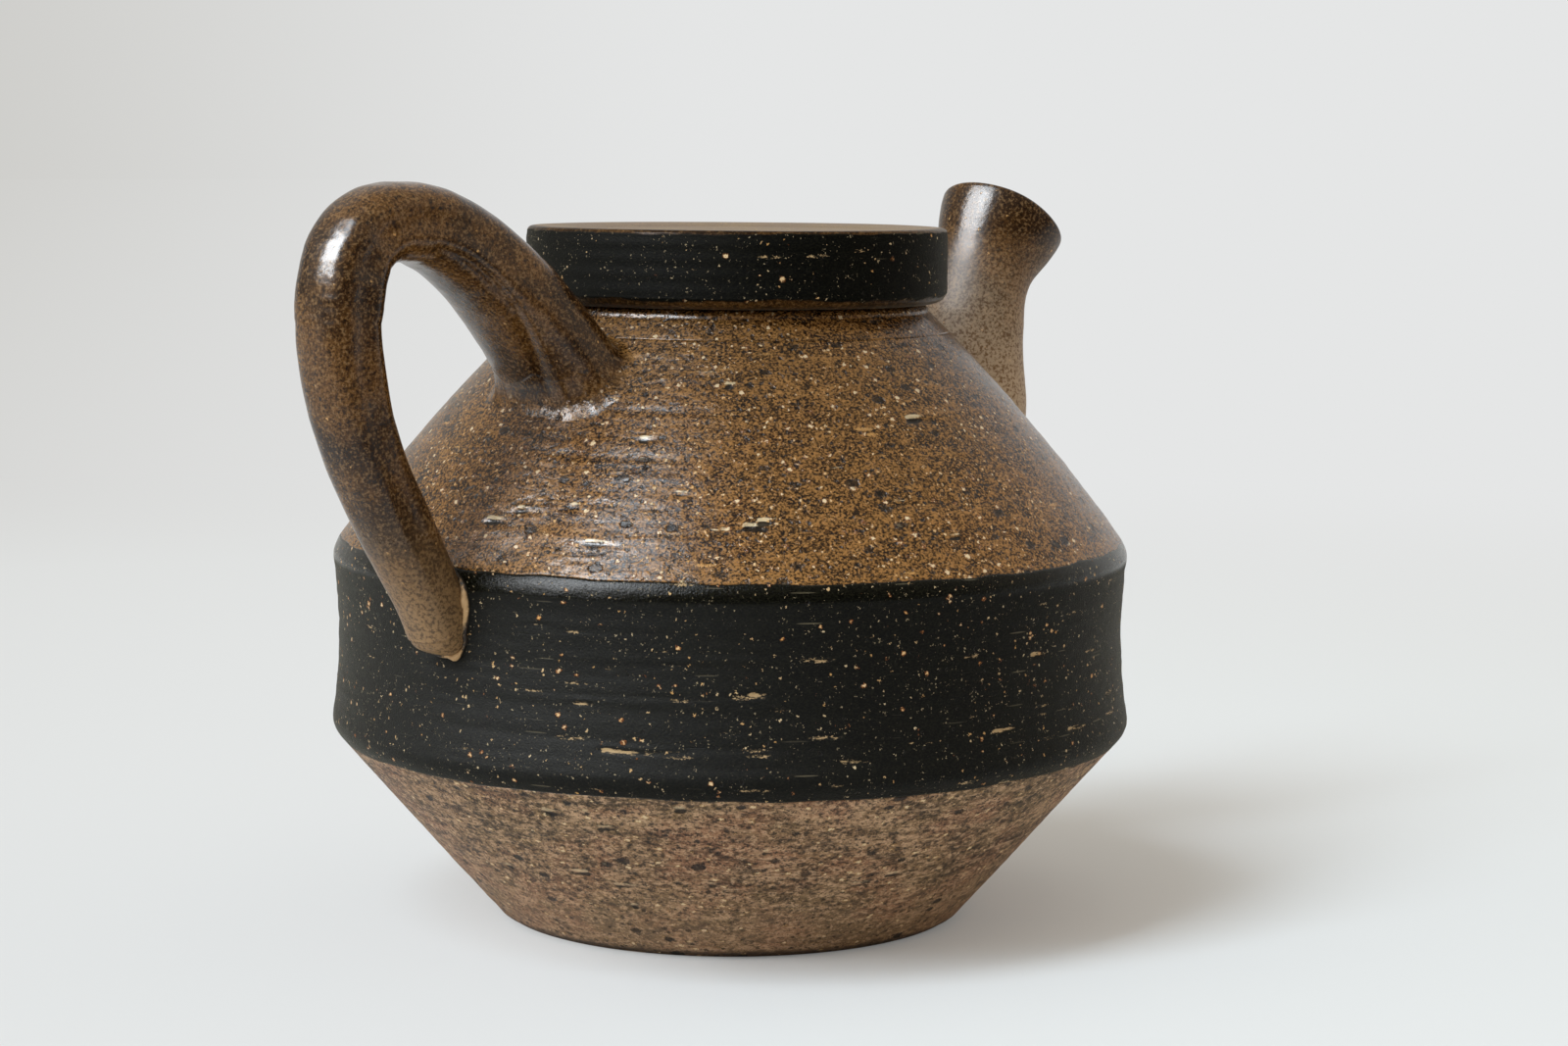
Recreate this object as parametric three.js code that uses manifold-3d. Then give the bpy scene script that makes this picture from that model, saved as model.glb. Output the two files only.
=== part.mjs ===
// A stoneware teapot: a squat wheel-thrown pot with a dark slip band between two sharp corners,
// a pulled strap handle, an upright spout and a flat drum lid that lifts off.
// Millimetres, +Z up. The origin is the centre of the flat underside.
// The spout stands on the +X side and the handle on the -X side.

import * as THREE from 'three';
import Module from 'manifold-3d';
import { mergeVertices } from 'three/addons/utils/BufferGeometryUtils.js';

// Pot body, outside
const FOOT_R = 45.8;            // the wall's cone, carried down to the underside
const FOOT_BEVEL = 1.2;         // worn edge of the underside
const LOWER_CONE_H = 39.1;      // underside to the lower corner
const BELLY_R = 80;             // lower corner, the widest ring
const BAND_H = 35.1;            // lower corner to upper corner
const BAND_TAPER = 0.5;         // how much narrower the upper corner is
const BAND_WAIST = 1.4;         // how far the band draws in halfway up
const SHOULDER_H = 47;          // upper corner to the edge of the lip
const SHOULDER_SWELL = 1.7;     // how far the shoulder swells beyond a straight cone
const CORNER_SOFT = 1.4;        // how far a corner's softening reaches

// Pot body, inside
const WALL = 6;                 // measured square to the wall
const FLOOR = 7;
const FLOOR_SOFT = 4;           // where the floor turns up into the wall
const INNER_SOFT = 6;           // inside corners are wiped round

// Slip band: its edges pass a little beyond both corners
const SLIP_UNDER_CORNER = 2.6;
const SLIP_OVER_CORNER = 1.9;

// Mouth
const MOUTH_R = 31.4;           // bore that the lid's flange drops into
const MOUTH_EDGE = 1;
const LIP_W = 7.8;              // width of the lip around the bore
const LIP_RISE = 1.6;           // the lip's flat top above its outer edge
const LIP_TURN = 2;             // how far the lip's outer edge is rounded in
const NECK_H = 5.6;             // height of the thickened ring under the lip's flat top
const NECK_BEVEL = 2.4;         // the bore's lower edge slopes back to the wall

// Lid
const LID_OVERHANG = 2.7;       // beyond the lip's outer edge
const LID_H = 15;
const LID_TOP_EDGE = 1;
const LID_FOOT_EDGE = 1.3;
const LID_RIM_W = 5;            // flat rim around the dished top
const LID_DISH = 0.8;
const LID_DISH_SLOPE = 4;
const LID_PLATE = 7.5;          // clay left over the hollow underside
const LID_HOLLOW_SOFT = 2;
const FLANGE_CLEARANCE = 1.2;   // flange to bore, all round when centred
const FLANGE_DEPTH = 9;
const FLANGE_WALL = 5;
const FLANGE_TAPER = 0.6;
const FLANGE_EDGE = 1;
const LID_SHIFT_X = 0.5;        // the lid lies loose, a little off centre
const LID_SHIFT_Y = -0.6;

// Strap handle, in the plane y = 0. Its centre line runs tip, foot, outer bend, crest, root.
const HANDLE_TIP_UNDER_CORNER = 16;
const HANDLE_TIP_LIFT = 0.9;    // centre line off the band
const HANDLE_FOOT_UNDER_CORNER = 9.4;
const HANDLE_FOOT_LIFT = 1.6;
const HANDLE_FOOT_ANGLE = 70.4; // degrees above level where the strap leaves the band
const HANDLE_REACH = 24.1;      // outer bend beyond the belly
const HANDLE_BEND_OVER_LIP = -1.1;
const HANDLE_CREST_REACH = 10.1; // crest beyond the belly
const HANDLE_CREST_OVER_LIP = 16.8;
const HANDLE_ROOT_OFF_LIP = 7.5; // root beyond the lip's outer edge, on the centre line
const HANDLE_ROOT_SINK = 3.7;   // how deep the centre line ends in the wall, across it
const HANDLE_ROOT_ANGLE = 56;   // degrees below level where it meets the shoulder
const STRAP_SQUARENESS = 2.6;   // 2 is an ellipse, more is squarer

// How far the centre line holds its direction out of and into each of those places, as a share of
// the straight way to the place it comes from or goes to
const HANDLE_TIP_PULL = 1 / 3;
const HANDLE_FOOT_PULL_OUT = 0.256;
const HANDLE_BEND_PULL_IN = 0.39;
const HANDLE_BEND_PULL_OUT = 0.29;
const HANDLE_CREST_PULL_IN = 0.572;
const HANDLE_CREST_PULL_OUT = 0.298;
const HANDLE_ROOT_PULL_IN = 0.26;

// The strap's width along Y and its thickness, at the same places
const HANDLE_TIP_W = 7;
const HANDLE_FOOT_W = 11;
const HANDLE_BEND_W = 15;
const HANDLE_CREST_W = 16.4;
const HANDLE_ROOT_W = 28.3;
const HANDLE_TIP_T = 5.4;
const HANDLE_FOOT_T = 11.4;
const HANDLE_BEND_T = 13.5;
const HANDLE_CREST_T = 14.5;
const HANDLE_ROOT_T = 15.5;

// Clay worked round the joints
const ROOT_FLARE = 5;           // beyond the strap, at the wall
const ROOT_FLARE_H = 11;        // along the strap, up from the wall
const FOOT_RIDGE = 2.2;         // coil round the strap's lower end
const SPOUT_FLARE = 3;
const SPOUT_FLARE_H = 8;
const FLARE_EDGE = 1.3;         // thickness left at a flare's thin end

// Spout, in the plane y = 0. Its axis runs base, waist, rim.
const SPOUT_INSET = 10.5;       // where its axis leaves the shoulder, in from the upper corner
const SPOUT_SINK = 5.6;         // how far its axis starts behind the shoulder's surface
const SPOUT_BASE_ANGLE = 43.7;  // degrees above level
const SPOUT_WAIST_INSET = 1.6;  // waist, in from the upper corner
const SPOUT_WAIST_UNDER_LIP = 5.7;
const SPOUT_WAIST_ANGLE = 78.9;
const SPOUT_RIM_REACH = 7.8;    // rim centre beyond the belly
const SPOUT_RIM_OVER_LIP = 15.4;
const SPOUT_RIM_TILT = 35;      // degrees that the rim leans outward
const SPOUT_BASE_PULL_OUT = 0.58;  // pulls as for the handle
const SPOUT_WAIST_PULL_IN = 0.532;
const SPOUT_WAIST_PULL_OUT = 0.326;
const SPOUT_RIM_PULL_IN = 0.442;

// Its outer radius from base to rim, evenly spaced, and its wall
const SPOUT_BASE_R = 15;
const SPOUT_LOWER_R = 13.3;
const SPOUT_WAIST_R = 11.2;
const SPOUT_THROAT_R = 10.8;
const SPOUT_RIM_R = 13.8;
const SPOUT_WALL = 3.8;
const SPOUT_RIM_WALL = 2.2;     // the wall thins to the rim

// Strainer holes through the shoulder, behind the spout
const STRAINER_HOLE_R = 2;
const STRAINER_RING_R = 5.8;
const STRAINER_RING_HOLES = 6;
const STRAINER_RAISE = 2.5;     // up the shoulder from the spout's axis

const GAP = 0.3;                // between a piece and what it is luted to

// How finely shapes are divided
const ROUND_STEPS = 60;         // round the pot
const CORNER_STEPS = 3;         // over a softened corner
const BAND_STEPS = 4;
const SHOULDER_STEPS = 6;
const STRAP_STEPS = 16;         // round the strap
const STRAP_RINGS = 34;         // along it
const STRAP_FOOT_RINGS = 9;
const TUBE_STEPS = 20;          // round the spout
const TUBE_RINGS = 18;          // along it
const FLARE_RINGS = 6;
const HOLE_STEPS = 10;
const SAME_POINT = 1e-3;        // points nearer than this are one
const HALVINGS = 40;            // of a range of heights, in a search

// Heights and radii that follow
const LOWER_CORNER_Z = LOWER_CONE_H;
const UPPER_CORNER_Z = LOWER_CORNER_Z + BAND_H;
const LIP_EDGE_Z = UPPER_CORNER_Z + SHOULDER_H;
const LIP_Z = LIP_EDGE_Z + LIP_RISE;
const NECK_Z = LIP_Z - NECK_H;
const SLIP_LOW_Z = LOWER_CORNER_Z - SLIP_UNDER_CORNER;
const SLIP_HIGH_Z = UPPER_CORNER_Z + SLIP_OVER_CORNER;
const UPPER_CORNER_R = BELLY_R - BAND_TAPER;
const LIP_EDGE_R = MOUTH_R + LIP_W;
const LID_R = LIP_EDGE_R + LID_OVERHANG;
const LID_TOP_Z = LIP_Z + LID_H;
const FLANGE_R = MOUTH_R - FLANGE_CLEARANCE;
const HOLLOW_R = FLANGE_R - FLANGE_WALL;

const SLIP_BLACK = new THREE.MeshStandardMaterial({ color: 0x1e1d1b, roughness: 0.6, metalness: 0 });
const SHOULDER_GLAZE = new THREE.MeshStandardMaterial({ color: 0x6e5032, roughness: 0.35, metalness: 0 });
const BOWL_GLAZE = new THREE.MeshStandardMaterial({ color: 0x785f4b, roughness: 0.5, metalness: 0 });
const STRAP_GLAZE = new THREE.MeshStandardMaterial({ color: 0x6b4a2c, roughness: 0.3, metalness: 0 });

const wasm = await Module();
wasm.setup();

// A closed geometry as a solid that can be joined and cut.
function solidOf(geometry) {
  const bare = geometry.clone();
  bare.deleteAttribute('normal');
  bare.deleteAttribute('uv');
  const merged = mergeVertices(bare, SAME_POINT);
  return new wasm.Manifold(new wasm.Mesh({
    numProp: 3,
    vertProperties: merged.attributes.position.array,
    triVerts: new Uint32Array(merged.index.array),
  }));
}

// A solid as a geometry, with a flat normal on each face.
function geometryOf(solid) {
  const mesh = solid.getMesh();
  const geometry = new THREE.BufferGeometry();
  geometry.setAttribute('position', new THREE.BufferAttribute(mesh.vertProperties, 3));
  geometry.setIndex(new THREE.BufferAttribute(mesh.triVerts, 1));
  const flat = geometry.toNonIndexed();
  flat.computeVertexNormals();
  return flat;
}

// A cut can leave crumbs thinner than a hair: this keeps the piece itself.
function largest(solid) {
  return solid.decompose().reduce((best, next) => (next.volume() > best.volume() ? next : best));
}

// Turns an outline of [radius, height] points round the Z axis.
function turned(outline) {
  const points = outline.map(([r, z]) => new THREE.Vector2(r, z));
  return new THREE.LatheGeometry(points, ROUND_STEPS).rotateX(Math.PI / 2);
}

const closed = (outline) => [...outline, outline[0]];

function between(from, to, count) {
  return Array.from({ length: count + 1 }, (_, i) => from + (to - from) * i / count);
}

// Points on a curve that takes the place of a corner, as [radius, height].
function eased(from, corner, to) {
  const [a, b, c] = [from, corner, to].map(([r, z]) => new THREE.Vector2(r, z));
  return new THREE.QuadraticBezierCurve(a, b, c).getPoints(CORNER_STEPS).map((p) => [p.x, p.y]);
}

// The lesser of two numbers, with the change from one to the other rounded off.
function softMin(a, b, reach) {
  const near = Math.max(reach - Math.abs(a - b), 0) / reach;
  return Math.min(a, b) - near * near * reach / 4;
}

// Outer surfaces of the three walls, each as a radius at a height, and running on beyond its ends.
const lowerCone = (z) => FOOT_R + (BELLY_R - FOOT_R) * z / LOWER_CONE_H;

function bandWall(z) {
  const t = (z - LOWER_CORNER_Z) / BAND_H;
  return BELLY_R - BAND_TAPER * t - BAND_WAIST * 4 * t * (1 - t);
}

function shoulderWall(z) {
  const t = (z - UPPER_CORNER_Z) / SHOULDER_H;
  return UPPER_CORNER_R + (LIP_EDGE_R - UPPER_CORNER_R) * t + SHOULDER_SWELL * 4 * t * (1 - t);
}

// The wall's thickness as measured level across a cone.
const levelWall = (rise, run) => WALL * Math.hypot(rise, run) / rise;
const LOWER_LEVEL_WALL = levelWall(LOWER_CONE_H, BELLY_R - FOOT_R);
const SHOULDER_LEVEL_WALL = levelWall(SHOULDER_H, UPPER_CORNER_R - LIP_EDGE_R);

function outerRadius(z) {
  return softMin(softMin(lowerCone(z), bandWall(z), CORNER_SOFT), shoulderWall(z), CORNER_SOFT);
}

function innerRadius(z) {
  const low = softMin(lowerCone(z) - LOWER_LEVEL_WALL, bandWall(z) - WALL, INNER_SOFT);
  return softMin(low, shoulderWall(z) - SHOULDER_LEVEL_WALL, INNER_SOFT);
}

const outside = (heights) => heights.map((z) => [outerRadius(z), z]);
const inside = (heights) => heights.map((z) => [innerRadius(z), z]);

const roundCorner = (z) => between(z - CORNER_SOFT, z + CORNER_SOFT, CORNER_STEPS);
const bandHeights = between(LOWER_CORNER_Z + 2 * CORNER_SOFT, UPPER_CORNER_Z - 2 * CORNER_SOFT, BAND_STEPS);
const slipHeights = [
  SLIP_LOW_Z, ...roundCorner(LOWER_CORNER_Z), ...bandHeights, ...roundCorner(UPPER_CORNER_Z), SLIP_HIGH_Z,
];
const shoulderHeights = between(SLIP_HIGH_Z, NECK_Z, SHOULDER_STEPS);

// The whole pot without its hollow, grown outward: what a luted piece is cut by.
function potBlock(grow) {
  const heights = [FOOT_BEVEL, ...slipHeights, ...shoulderHeights.slice(1), LIP_EDGE_Z];
  const wall = heights.map((z) => [outerRadius(z) + grow, z]);
  return solidOf(turned([[0, 0], [FOOT_R + grow, 0], ...wall, [0, LIP_EDGE_Z]]));
}

function lowerBowl() {
  const corner = innerRadius(FLOOR);
  return turned([
    [0, 0], [FOOT_R - FOOT_BEVEL, 0], ...outside([FOOT_BEVEL, SLIP_LOW_Z]), ...inside([SLIP_LOW_Z]),
    ...eased(...inside([FLOOR + FLOOR_SOFT]), [corner, FLOOR], [corner - FLOOR_SOFT, FLOOR]), [0, FLOOR],
  ]);
}

function waistBand() {
  const innerHeights = [SLIP_HIGH_Z, ...bandHeights.toReversed(), SLIP_LOW_Z];
  return turned(closed([...outside(slipHeights), ...inside(innerHeights)]));
}

function shoulder() {
  const outline = [...outside(shoulderHeights), ...inside(shoulderHeights.toReversed())];
  const wall = solidOf(turned(closed(outline)));
  return geometryOf(strainerHoles().reduce((left, hole) => left.subtract(hole), wall));
}

function neckRing() {
  return turned(closed([
    ...outside([NECK_Z]),
    ...eased(...outside([LIP_EDGE_Z]), [LIP_EDGE_R, LIP_Z], [LIP_EDGE_R - LIP_TURN, LIP_Z]),
    ...eased([MOUTH_R + MOUTH_EDGE, LIP_Z], [MOUTH_R, LIP_Z], [MOUTH_R, LIP_Z - MOUTH_EDGE]),
    [MOUTH_R, NECK_Z + NECK_BEVEL], ...inside([NECK_Z]),
  ]));
}

function lidDisc() {
  const ceiling = LID_TOP_Z - LID_PLATE;
  const softR = HOLLOW_R - LID_HOLLOW_SOFT;
  const rimR = LID_R - LID_RIM_W;
  return turned([
    [0, ceiling],
    ...eased([softR, ceiling], [HOLLOW_R, ceiling], [HOLLOW_R, ceiling - LID_HOLLOW_SOFT]),
    [HOLLOW_R, LIP_Z], [LID_R - LID_FOOT_EDGE, LIP_Z], [LID_R, LIP_Z + LID_FOOT_EDGE],
    [LID_R, LID_TOP_Z - LID_TOP_EDGE], [LID_R - LID_TOP_EDGE, LID_TOP_Z], [rimR, LID_TOP_Z],
    [rimR - LID_DISH_SLOPE, LID_TOP_Z - LID_DISH], [0, LID_TOP_Z - LID_DISH],
  ]);
}

function lidFlange() {
  const low = LIP_Z - FLANGE_DEPTH;
  const lowR = FLANGE_R - FLANGE_TAPER;
  return turned(closed([
    [FLANGE_R, LIP_Z], [HOLLOW_R, LIP_Z], [HOLLOW_R, low + FLANGE_EDGE], [HOLLOW_R + FLANGE_EDGE, low],
    [lowR - FLANGE_EDGE, low], [lowR, low + FLANGE_EDGE],
  ]));
}

// Skins a row of equal rings and closes both ends.
function lofted(rings) {
  const count = rings[0].length;
  const centre = (ring) => ring.reduce((sum, p) => sum.add(p), new THREE.Vector3()).divideScalar(count);
  const points = [...rings.flat(), centre(rings[0]), centre(rings.at(-1))];
  const faces = [];
  for (let i = 0; i + 1 < rings.length; i++) {
    for (let j = 0; j < count; j++) {
      const a = i * count + j;
      const b = i * count + (j + 1) % count;
      faces.push(a, b + count, b, a, a + count, b + count);
    }
  }
  const last = (rings.length - 1) * count;
  for (let j = 0; j < count; j++) {
    const next = (j + 1) % count;
    faces.push(j, next, points.length - 2, last + next, last + j, points.length - 1);
  }
  const geometry = new THREE.BufferGeometry().setFromPoints(points);
  geometry.setIndex(faces);
  return geometry;
}

// A ring square to a line in the plane y = 0. Its half sizes lie across the line in that plane, and along Y.
function ringAt(point, tangent, across, aside, squareness, steps) {
  const normal = new THREE.Vector3(-tangent.z, 0, tangent.x);
  const round = (v) => Math.sign(v) * Math.abs(v) ** (2 / squareness);
  return between(0, 2 * Math.PI, steps).slice(0, -1).map((angle) => point.clone()
    .addScaledVector(normal, across * round(Math.cos(angle)))
    .add(new THREE.Vector3(0, aside * round(Math.sin(angle)), 0)));
}

// A smooth value through the numbers of a list, at a place from 0 at the first to 1 at the last.
function smoothThrough(values, place) {
  const points = values.map((value, i) => new THREE.Vector2(i, value));
  return new THREE.SplineCurve(points).getPoint(Math.max(place, 0)).y;
}

const inPlane = (x, z) => new THREE.Vector3(x, 0, z);
const radians = THREE.MathUtils.degToRad;

// A curve between two points, leaving and arriving at given angles above level. The pulls are shares
// of the straight way between the points.
function bend(start, startAngle, startPull, end, endAngle, endPull) {
  const span = start.distanceTo(end);
  const step = (angle, pull) => inPlane(Math.cos(angle), Math.sin(angle)).multiplyScalar(pull * span);
  return new THREE.CubicBezierCurve3(
    start, start.clone().add(step(startAngle, startPull)),
    end.clone().sub(step(endAngle, endPull)), end,
  );
}

// Point and direction at a place counted in stretches: 1.5 is halfway along the second stretch.
// A place under 0 lies straight ahead of the first, at that many times its length.
function along(stretches, place) {
  const i = Math.max(Math.min(Math.floor(place), stretches.length - 1), 0);
  const t = Math.max(place - i, 0);
  const ahead = Math.min(place, 0) * stretches[0].getLength();
  const tangent = stretches[i].getTangent(t);
  return { point: stretches[i].getPoint(t).addScaledVector(tangent, ahead), tangent };
}

// Height at which the shoulder's surface has a given radius.
function heightOnShoulder(radius) {
  let low = UPPER_CORNER_Z;
  let high = LIP_EDGE_Z;
  for (let i = 0; i < HALVINGS; i++) {
    const middle = (low + high) / 2;
    if (shoulderWall(middle) > radius) {
      low = middle;
    } else {
      high = middle;
    }
  }
  return low;
}

// A depth measured square to the shoulder, as a drop straight down.
const dropBelowShoulder = (depth) =>
  depth * Math.hypot(SHOULDER_H, UPPER_CORNER_R - LIP_EDGE_R) / (UPPER_CORNER_R - LIP_EDGE_R);

// The handle's centre line, from its tip to its root.
function handleStretches() {
  const tipZ = UPPER_CORNER_Z - HANDLE_TIP_UNDER_CORNER;
  const footZ = UPPER_CORNER_Z - HANDLE_FOOT_UNDER_CORNER;
  const rootX = LIP_EDGE_R + HANDLE_ROOT_OFF_LIP;
  const tip = inPlane(-bandWall(tipZ) - HANDLE_TIP_LIFT, tipZ);
  const foot = inPlane(-bandWall(footZ) - HANDLE_FOOT_LIFT, footZ);
  const outer = inPlane(-BELLY_R - HANDLE_REACH, LIP_Z + HANDLE_BEND_OVER_LIP);
  const crest = inPlane(-BELLY_R - HANDLE_CREST_REACH, LIP_Z + HANDLE_CREST_OVER_LIP);
  const root = inPlane(-rootX, heightOnShoulder(rootX) - dropBelowShoulder(HANDLE_ROOT_SINK));
  const tipAngle = Math.atan2(foot.z - tip.z, foot.x - tip.x);
  const footAngle = radians(180 - HANDLE_FOOT_ANGLE);
  const upright = radians(90);
  const rootAngle = radians(-HANDLE_ROOT_ANGLE);
  return [
    bend(tip, tipAngle, HANDLE_TIP_PULL, foot, footAngle, HANDLE_TIP_PULL),
    bend(foot, footAngle, HANDLE_FOOT_PULL_OUT, outer, upright, HANDLE_BEND_PULL_IN),
    bend(outer, upright, HANDLE_BEND_PULL_OUT, crest, 0, HANDLE_CREST_PULL_IN),
    bend(crest, 0, HANDLE_CREST_PULL_OUT, root, rootAngle, HANDLE_ROOT_PULL_IN),
  ];
}

const ROOT_PLACE = 4;       // places on that line: tip 0, foot 1, outer bend 2, crest 3, root 4
const CLEAR_OF_BAND = 1.5;  // a place where the strap stands well off the band

// The strap between two places on its centre line, grown outward by a size at each place.
function strap(from, to, count, growAt) {
  const stretches = handleStretches();
  const widths = [HANDLE_TIP_W, HANDLE_FOOT_W, HANDLE_BEND_W, HANDLE_CREST_W, HANDLE_ROOT_W];
  const thicknesses = [HANDLE_TIP_T, HANDLE_FOOT_T, HANDLE_BEND_T, HANDLE_CREST_T, HANDLE_ROOT_T];
  const rings = between(from, to, count).map((place) => {
    const { point, tangent } = along(stretches, place);
    const across = smoothThrough(thicknesses, place / ROOT_PLACE) / 2 + growAt(place);
    const aside = smoothThrough(widths, place / ROOT_PLACE) / 2 + growAt(place);
    return ringAt(point, tangent, across, aside, STRAP_SQUARENESS, STRAP_STEPS);
  });
  return solidOf(lofted(rings));
}

const wholeStrap = (grow) => strap(0, ROOT_PLACE, STRAP_RINGS, () => grow);

function handle() {
  return geometryOf(wholeStrap(0).subtract(potBlock(GAP)));
}

// How far a flare stands out, from its thin end at 0 to the wall at 1.
const flareOut = (most, t) => FLARE_EDGE + (most - FLARE_EDGE) * Math.max(t, 0) ** 2;

function handleUpperJoint() {
  const length = ROOT_FLARE_H + dropBelowShoulder(HANDLE_ROOT_SINK);
  const share = length / handleStretches().at(-1).getLength();
  const start = ROOT_PLACE - share;
  const grow = (place) => flareOut(ROOT_FLARE, (place - start) / share);
  const flare = strap(start, ROOT_PLACE, FLARE_RINGS, grow);
  return geometryOf(flare.subtract(wholeStrap(GAP)).subtract(potBlock(GAP)));
}

// The strap's lower end, grown outward and past its tip.
function lowerStrap(grow) {
  const past = grow / handleStretches()[0].getLength();
  return strap(-past, CLEAR_OF_BAND, STRAP_FOOT_RINGS, () => grow);
}

function handleLowerJoint() {
  const ridge = lowerStrap(FOOT_RIDGE).intersect(potBlock(FOOT_RIDGE));
  return geometryOf(largest(ridge.subtract(lowerStrap(GAP)).subtract(potBlock(GAP))));
}

// The spout's axis, from behind the shoulder's surface to the middle of its rim.
function spoutStretches() {
  const baseX = UPPER_CORNER_R - SPOUT_INSET;
  const baseAngle = radians(SPOUT_BASE_ANGLE);
  const waistAngle = radians(SPOUT_WAIST_ANGLE);
  const rimAngle = radians(90 - SPOUT_RIM_TILT);
  const sink = inPlane(Math.cos(baseAngle), Math.sin(baseAngle)).multiplyScalar(SPOUT_SINK);
  const base = inPlane(baseX, heightOnShoulder(baseX)).sub(sink);
  const waist = inPlane(UPPER_CORNER_R - SPOUT_WAIST_INSET, LIP_Z - SPOUT_WAIST_UNDER_LIP);
  const rim = inPlane(BELLY_R + SPOUT_RIM_REACH, LIP_Z + SPOUT_RIM_OVER_LIP);
  return [
    bend(base, baseAngle, SPOUT_BASE_PULL_OUT, waist, waistAngle, SPOUT_WAIST_PULL_IN),
    bend(waist, waistAngle, SPOUT_WAIST_PULL_OUT, rim, rimAngle, SPOUT_RIM_PULL_IN),
  ];
}

const RIM_PLACE = 2;        // places on that line: base 0, waist 1, rim 2

// Rings of the spout from its base to a place, with its radius changed by a size at each place.
function spoutRings(to, count, growAt) {
  const stretches = spoutStretches();
  const radii = [SPOUT_BASE_R, SPOUT_LOWER_R, SPOUT_WAIST_R, SPOUT_THROAT_R, SPOUT_RIM_R];
  return between(0, to, count).map((place) => {
    const { point, tangent } = along(stretches, place);
    const radius = smoothThrough(radii, place / RIM_PLACE) + growAt(place);
    return ringAt(point, tangent, radius, radius, 2, TUBE_STEPS);
  });
}

const wholeSpout = (grow) => solidOf(lofted(spoutRings(RIM_PLACE, TUBE_RINGS, () => grow)));

// The spout's hollow, run on past its rim.
function spoutBore() {
  const inward = (place) => -SPOUT_WALL + (SPOUT_WALL - SPOUT_RIM_WALL) * Math.max(place - 1, 0);
  const rings = spoutRings(RIM_PLACE, TUBE_RINGS, inward);
  const past = along(spoutStretches(), RIM_PLACE).tangent.multiplyScalar(SPOUT_RIM_WALL);
  return solidOf(lofted([...rings, rings.at(-1).map((point) => point.clone().add(past))]));
}

function spout() {
  return geometryOf(wholeSpout(0).subtract(spoutBore()).subtract(potBlock(GAP)));
}

function spoutJoint() {
  const end = (SPOUT_FLARE_H + SPOUT_SINK) / spoutStretches()[0].getLength();
  const grow = (place) => flareOut(SPOUT_FLARE, 1 - place / end);
  const flare = solidOf(lofted(spoutRings(end, FLARE_RINGS, grow)));
  return geometryOf(flare.subtract(wholeSpout(GAP)).subtract(potBlock(GAP)));
}

// One hole in the middle and a ring of holes around it, square to the shoulder.
function strainerHoles() {
  const lean = Math.atan2(SHOULDER_H, UPPER_CORNER_R - LIP_EDGE_R);
  const x = UPPER_CORNER_R - SPOUT_INSET - STRAINER_RAISE * Math.cos(lean);
  const drill = new THREE.CylinderGeometry(STRAINER_HOLE_R, STRAINER_HOLE_R, 4 * WALL, HOLE_STEPS);
  const ringPlace = (angle) => [STRAINER_RING_R * Math.cos(angle), STRAINER_RING_R * Math.sin(angle)];
  const places = [[0, 0], ...between(0, 2 * Math.PI, STRAINER_RING_HOLES).slice(0, -1).map(ringPlace)];
  return places.map(([up, aside]) => solidOf(
    drill.clone().translate(up, 0, aside).rotateX(Math.PI / 2).rotateY(lean)
      .translate(x, 0, heightOnShoulder(x)),
  ));
}

const potPieces = [
  ['lower_bowl', lowerBowl, BOWL_GLAZE],
  ['waist_band', waistBand, SLIP_BLACK],
  ['shoulder', shoulder, SHOULDER_GLAZE],
  ['neck_ring', neckRing, SHOULDER_GLAZE],
  ['spout', spout, STRAP_GLAZE],
  ['spout_joint', spoutJoint, SHOULDER_GLAZE],
  ['handle', handle, STRAP_GLAZE],
  ['handle_upper_joint', handleUpperJoint, STRAP_GLAZE],
  ['handle_lower_joint', handleLowerJoint, BOWL_GLAZE],
];

const lidPieces = [
  ['lid_disc', lidDisc, SLIP_BLACK],
  ['lid_flange', lidFlange, SLIP_BLACK],
];

function groupOf(pieces) {
  const group = new THREE.Group();
  for (const [name, make, material] of pieces) {
    const mesh = new THREE.Mesh(make(), material);
    mesh.name = name;
    group.add(mesh);
  }
  return group;
}

const pot = groupOf(potPieces);
const lid = groupOf(lidPieces);
lid.position.set(LID_SHIFT_X, LID_SHIFT_Y, 0);

const teapot = new THREE.Group();
teapot.add(pot, lid);

export default teapot;
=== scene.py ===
# The looks of a stoneware teapot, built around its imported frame.
# Shapes are worked out in millimetres, +Z up, with the origin at the centre of the underside, and
# become metres when a mesh is made. The spout stands on the +X side and the handle on the -X side.

import math

import bmesh
import bpy
import numpy as np
from mathutils import Matrix, Vector


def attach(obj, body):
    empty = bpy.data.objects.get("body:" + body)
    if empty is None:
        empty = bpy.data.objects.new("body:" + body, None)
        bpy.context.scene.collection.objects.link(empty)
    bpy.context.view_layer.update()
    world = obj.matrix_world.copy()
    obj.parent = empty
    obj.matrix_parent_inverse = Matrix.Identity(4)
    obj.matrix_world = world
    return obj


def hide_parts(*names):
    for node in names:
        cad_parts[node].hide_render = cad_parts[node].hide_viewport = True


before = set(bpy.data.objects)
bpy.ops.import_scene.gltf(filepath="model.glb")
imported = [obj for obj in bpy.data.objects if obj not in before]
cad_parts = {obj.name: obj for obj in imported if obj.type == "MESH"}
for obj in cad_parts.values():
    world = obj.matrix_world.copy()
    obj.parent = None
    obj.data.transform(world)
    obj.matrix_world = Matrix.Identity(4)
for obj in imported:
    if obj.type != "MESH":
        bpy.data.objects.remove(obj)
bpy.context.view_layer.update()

MM = 0.001
TURN = 2 * math.pi

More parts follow.
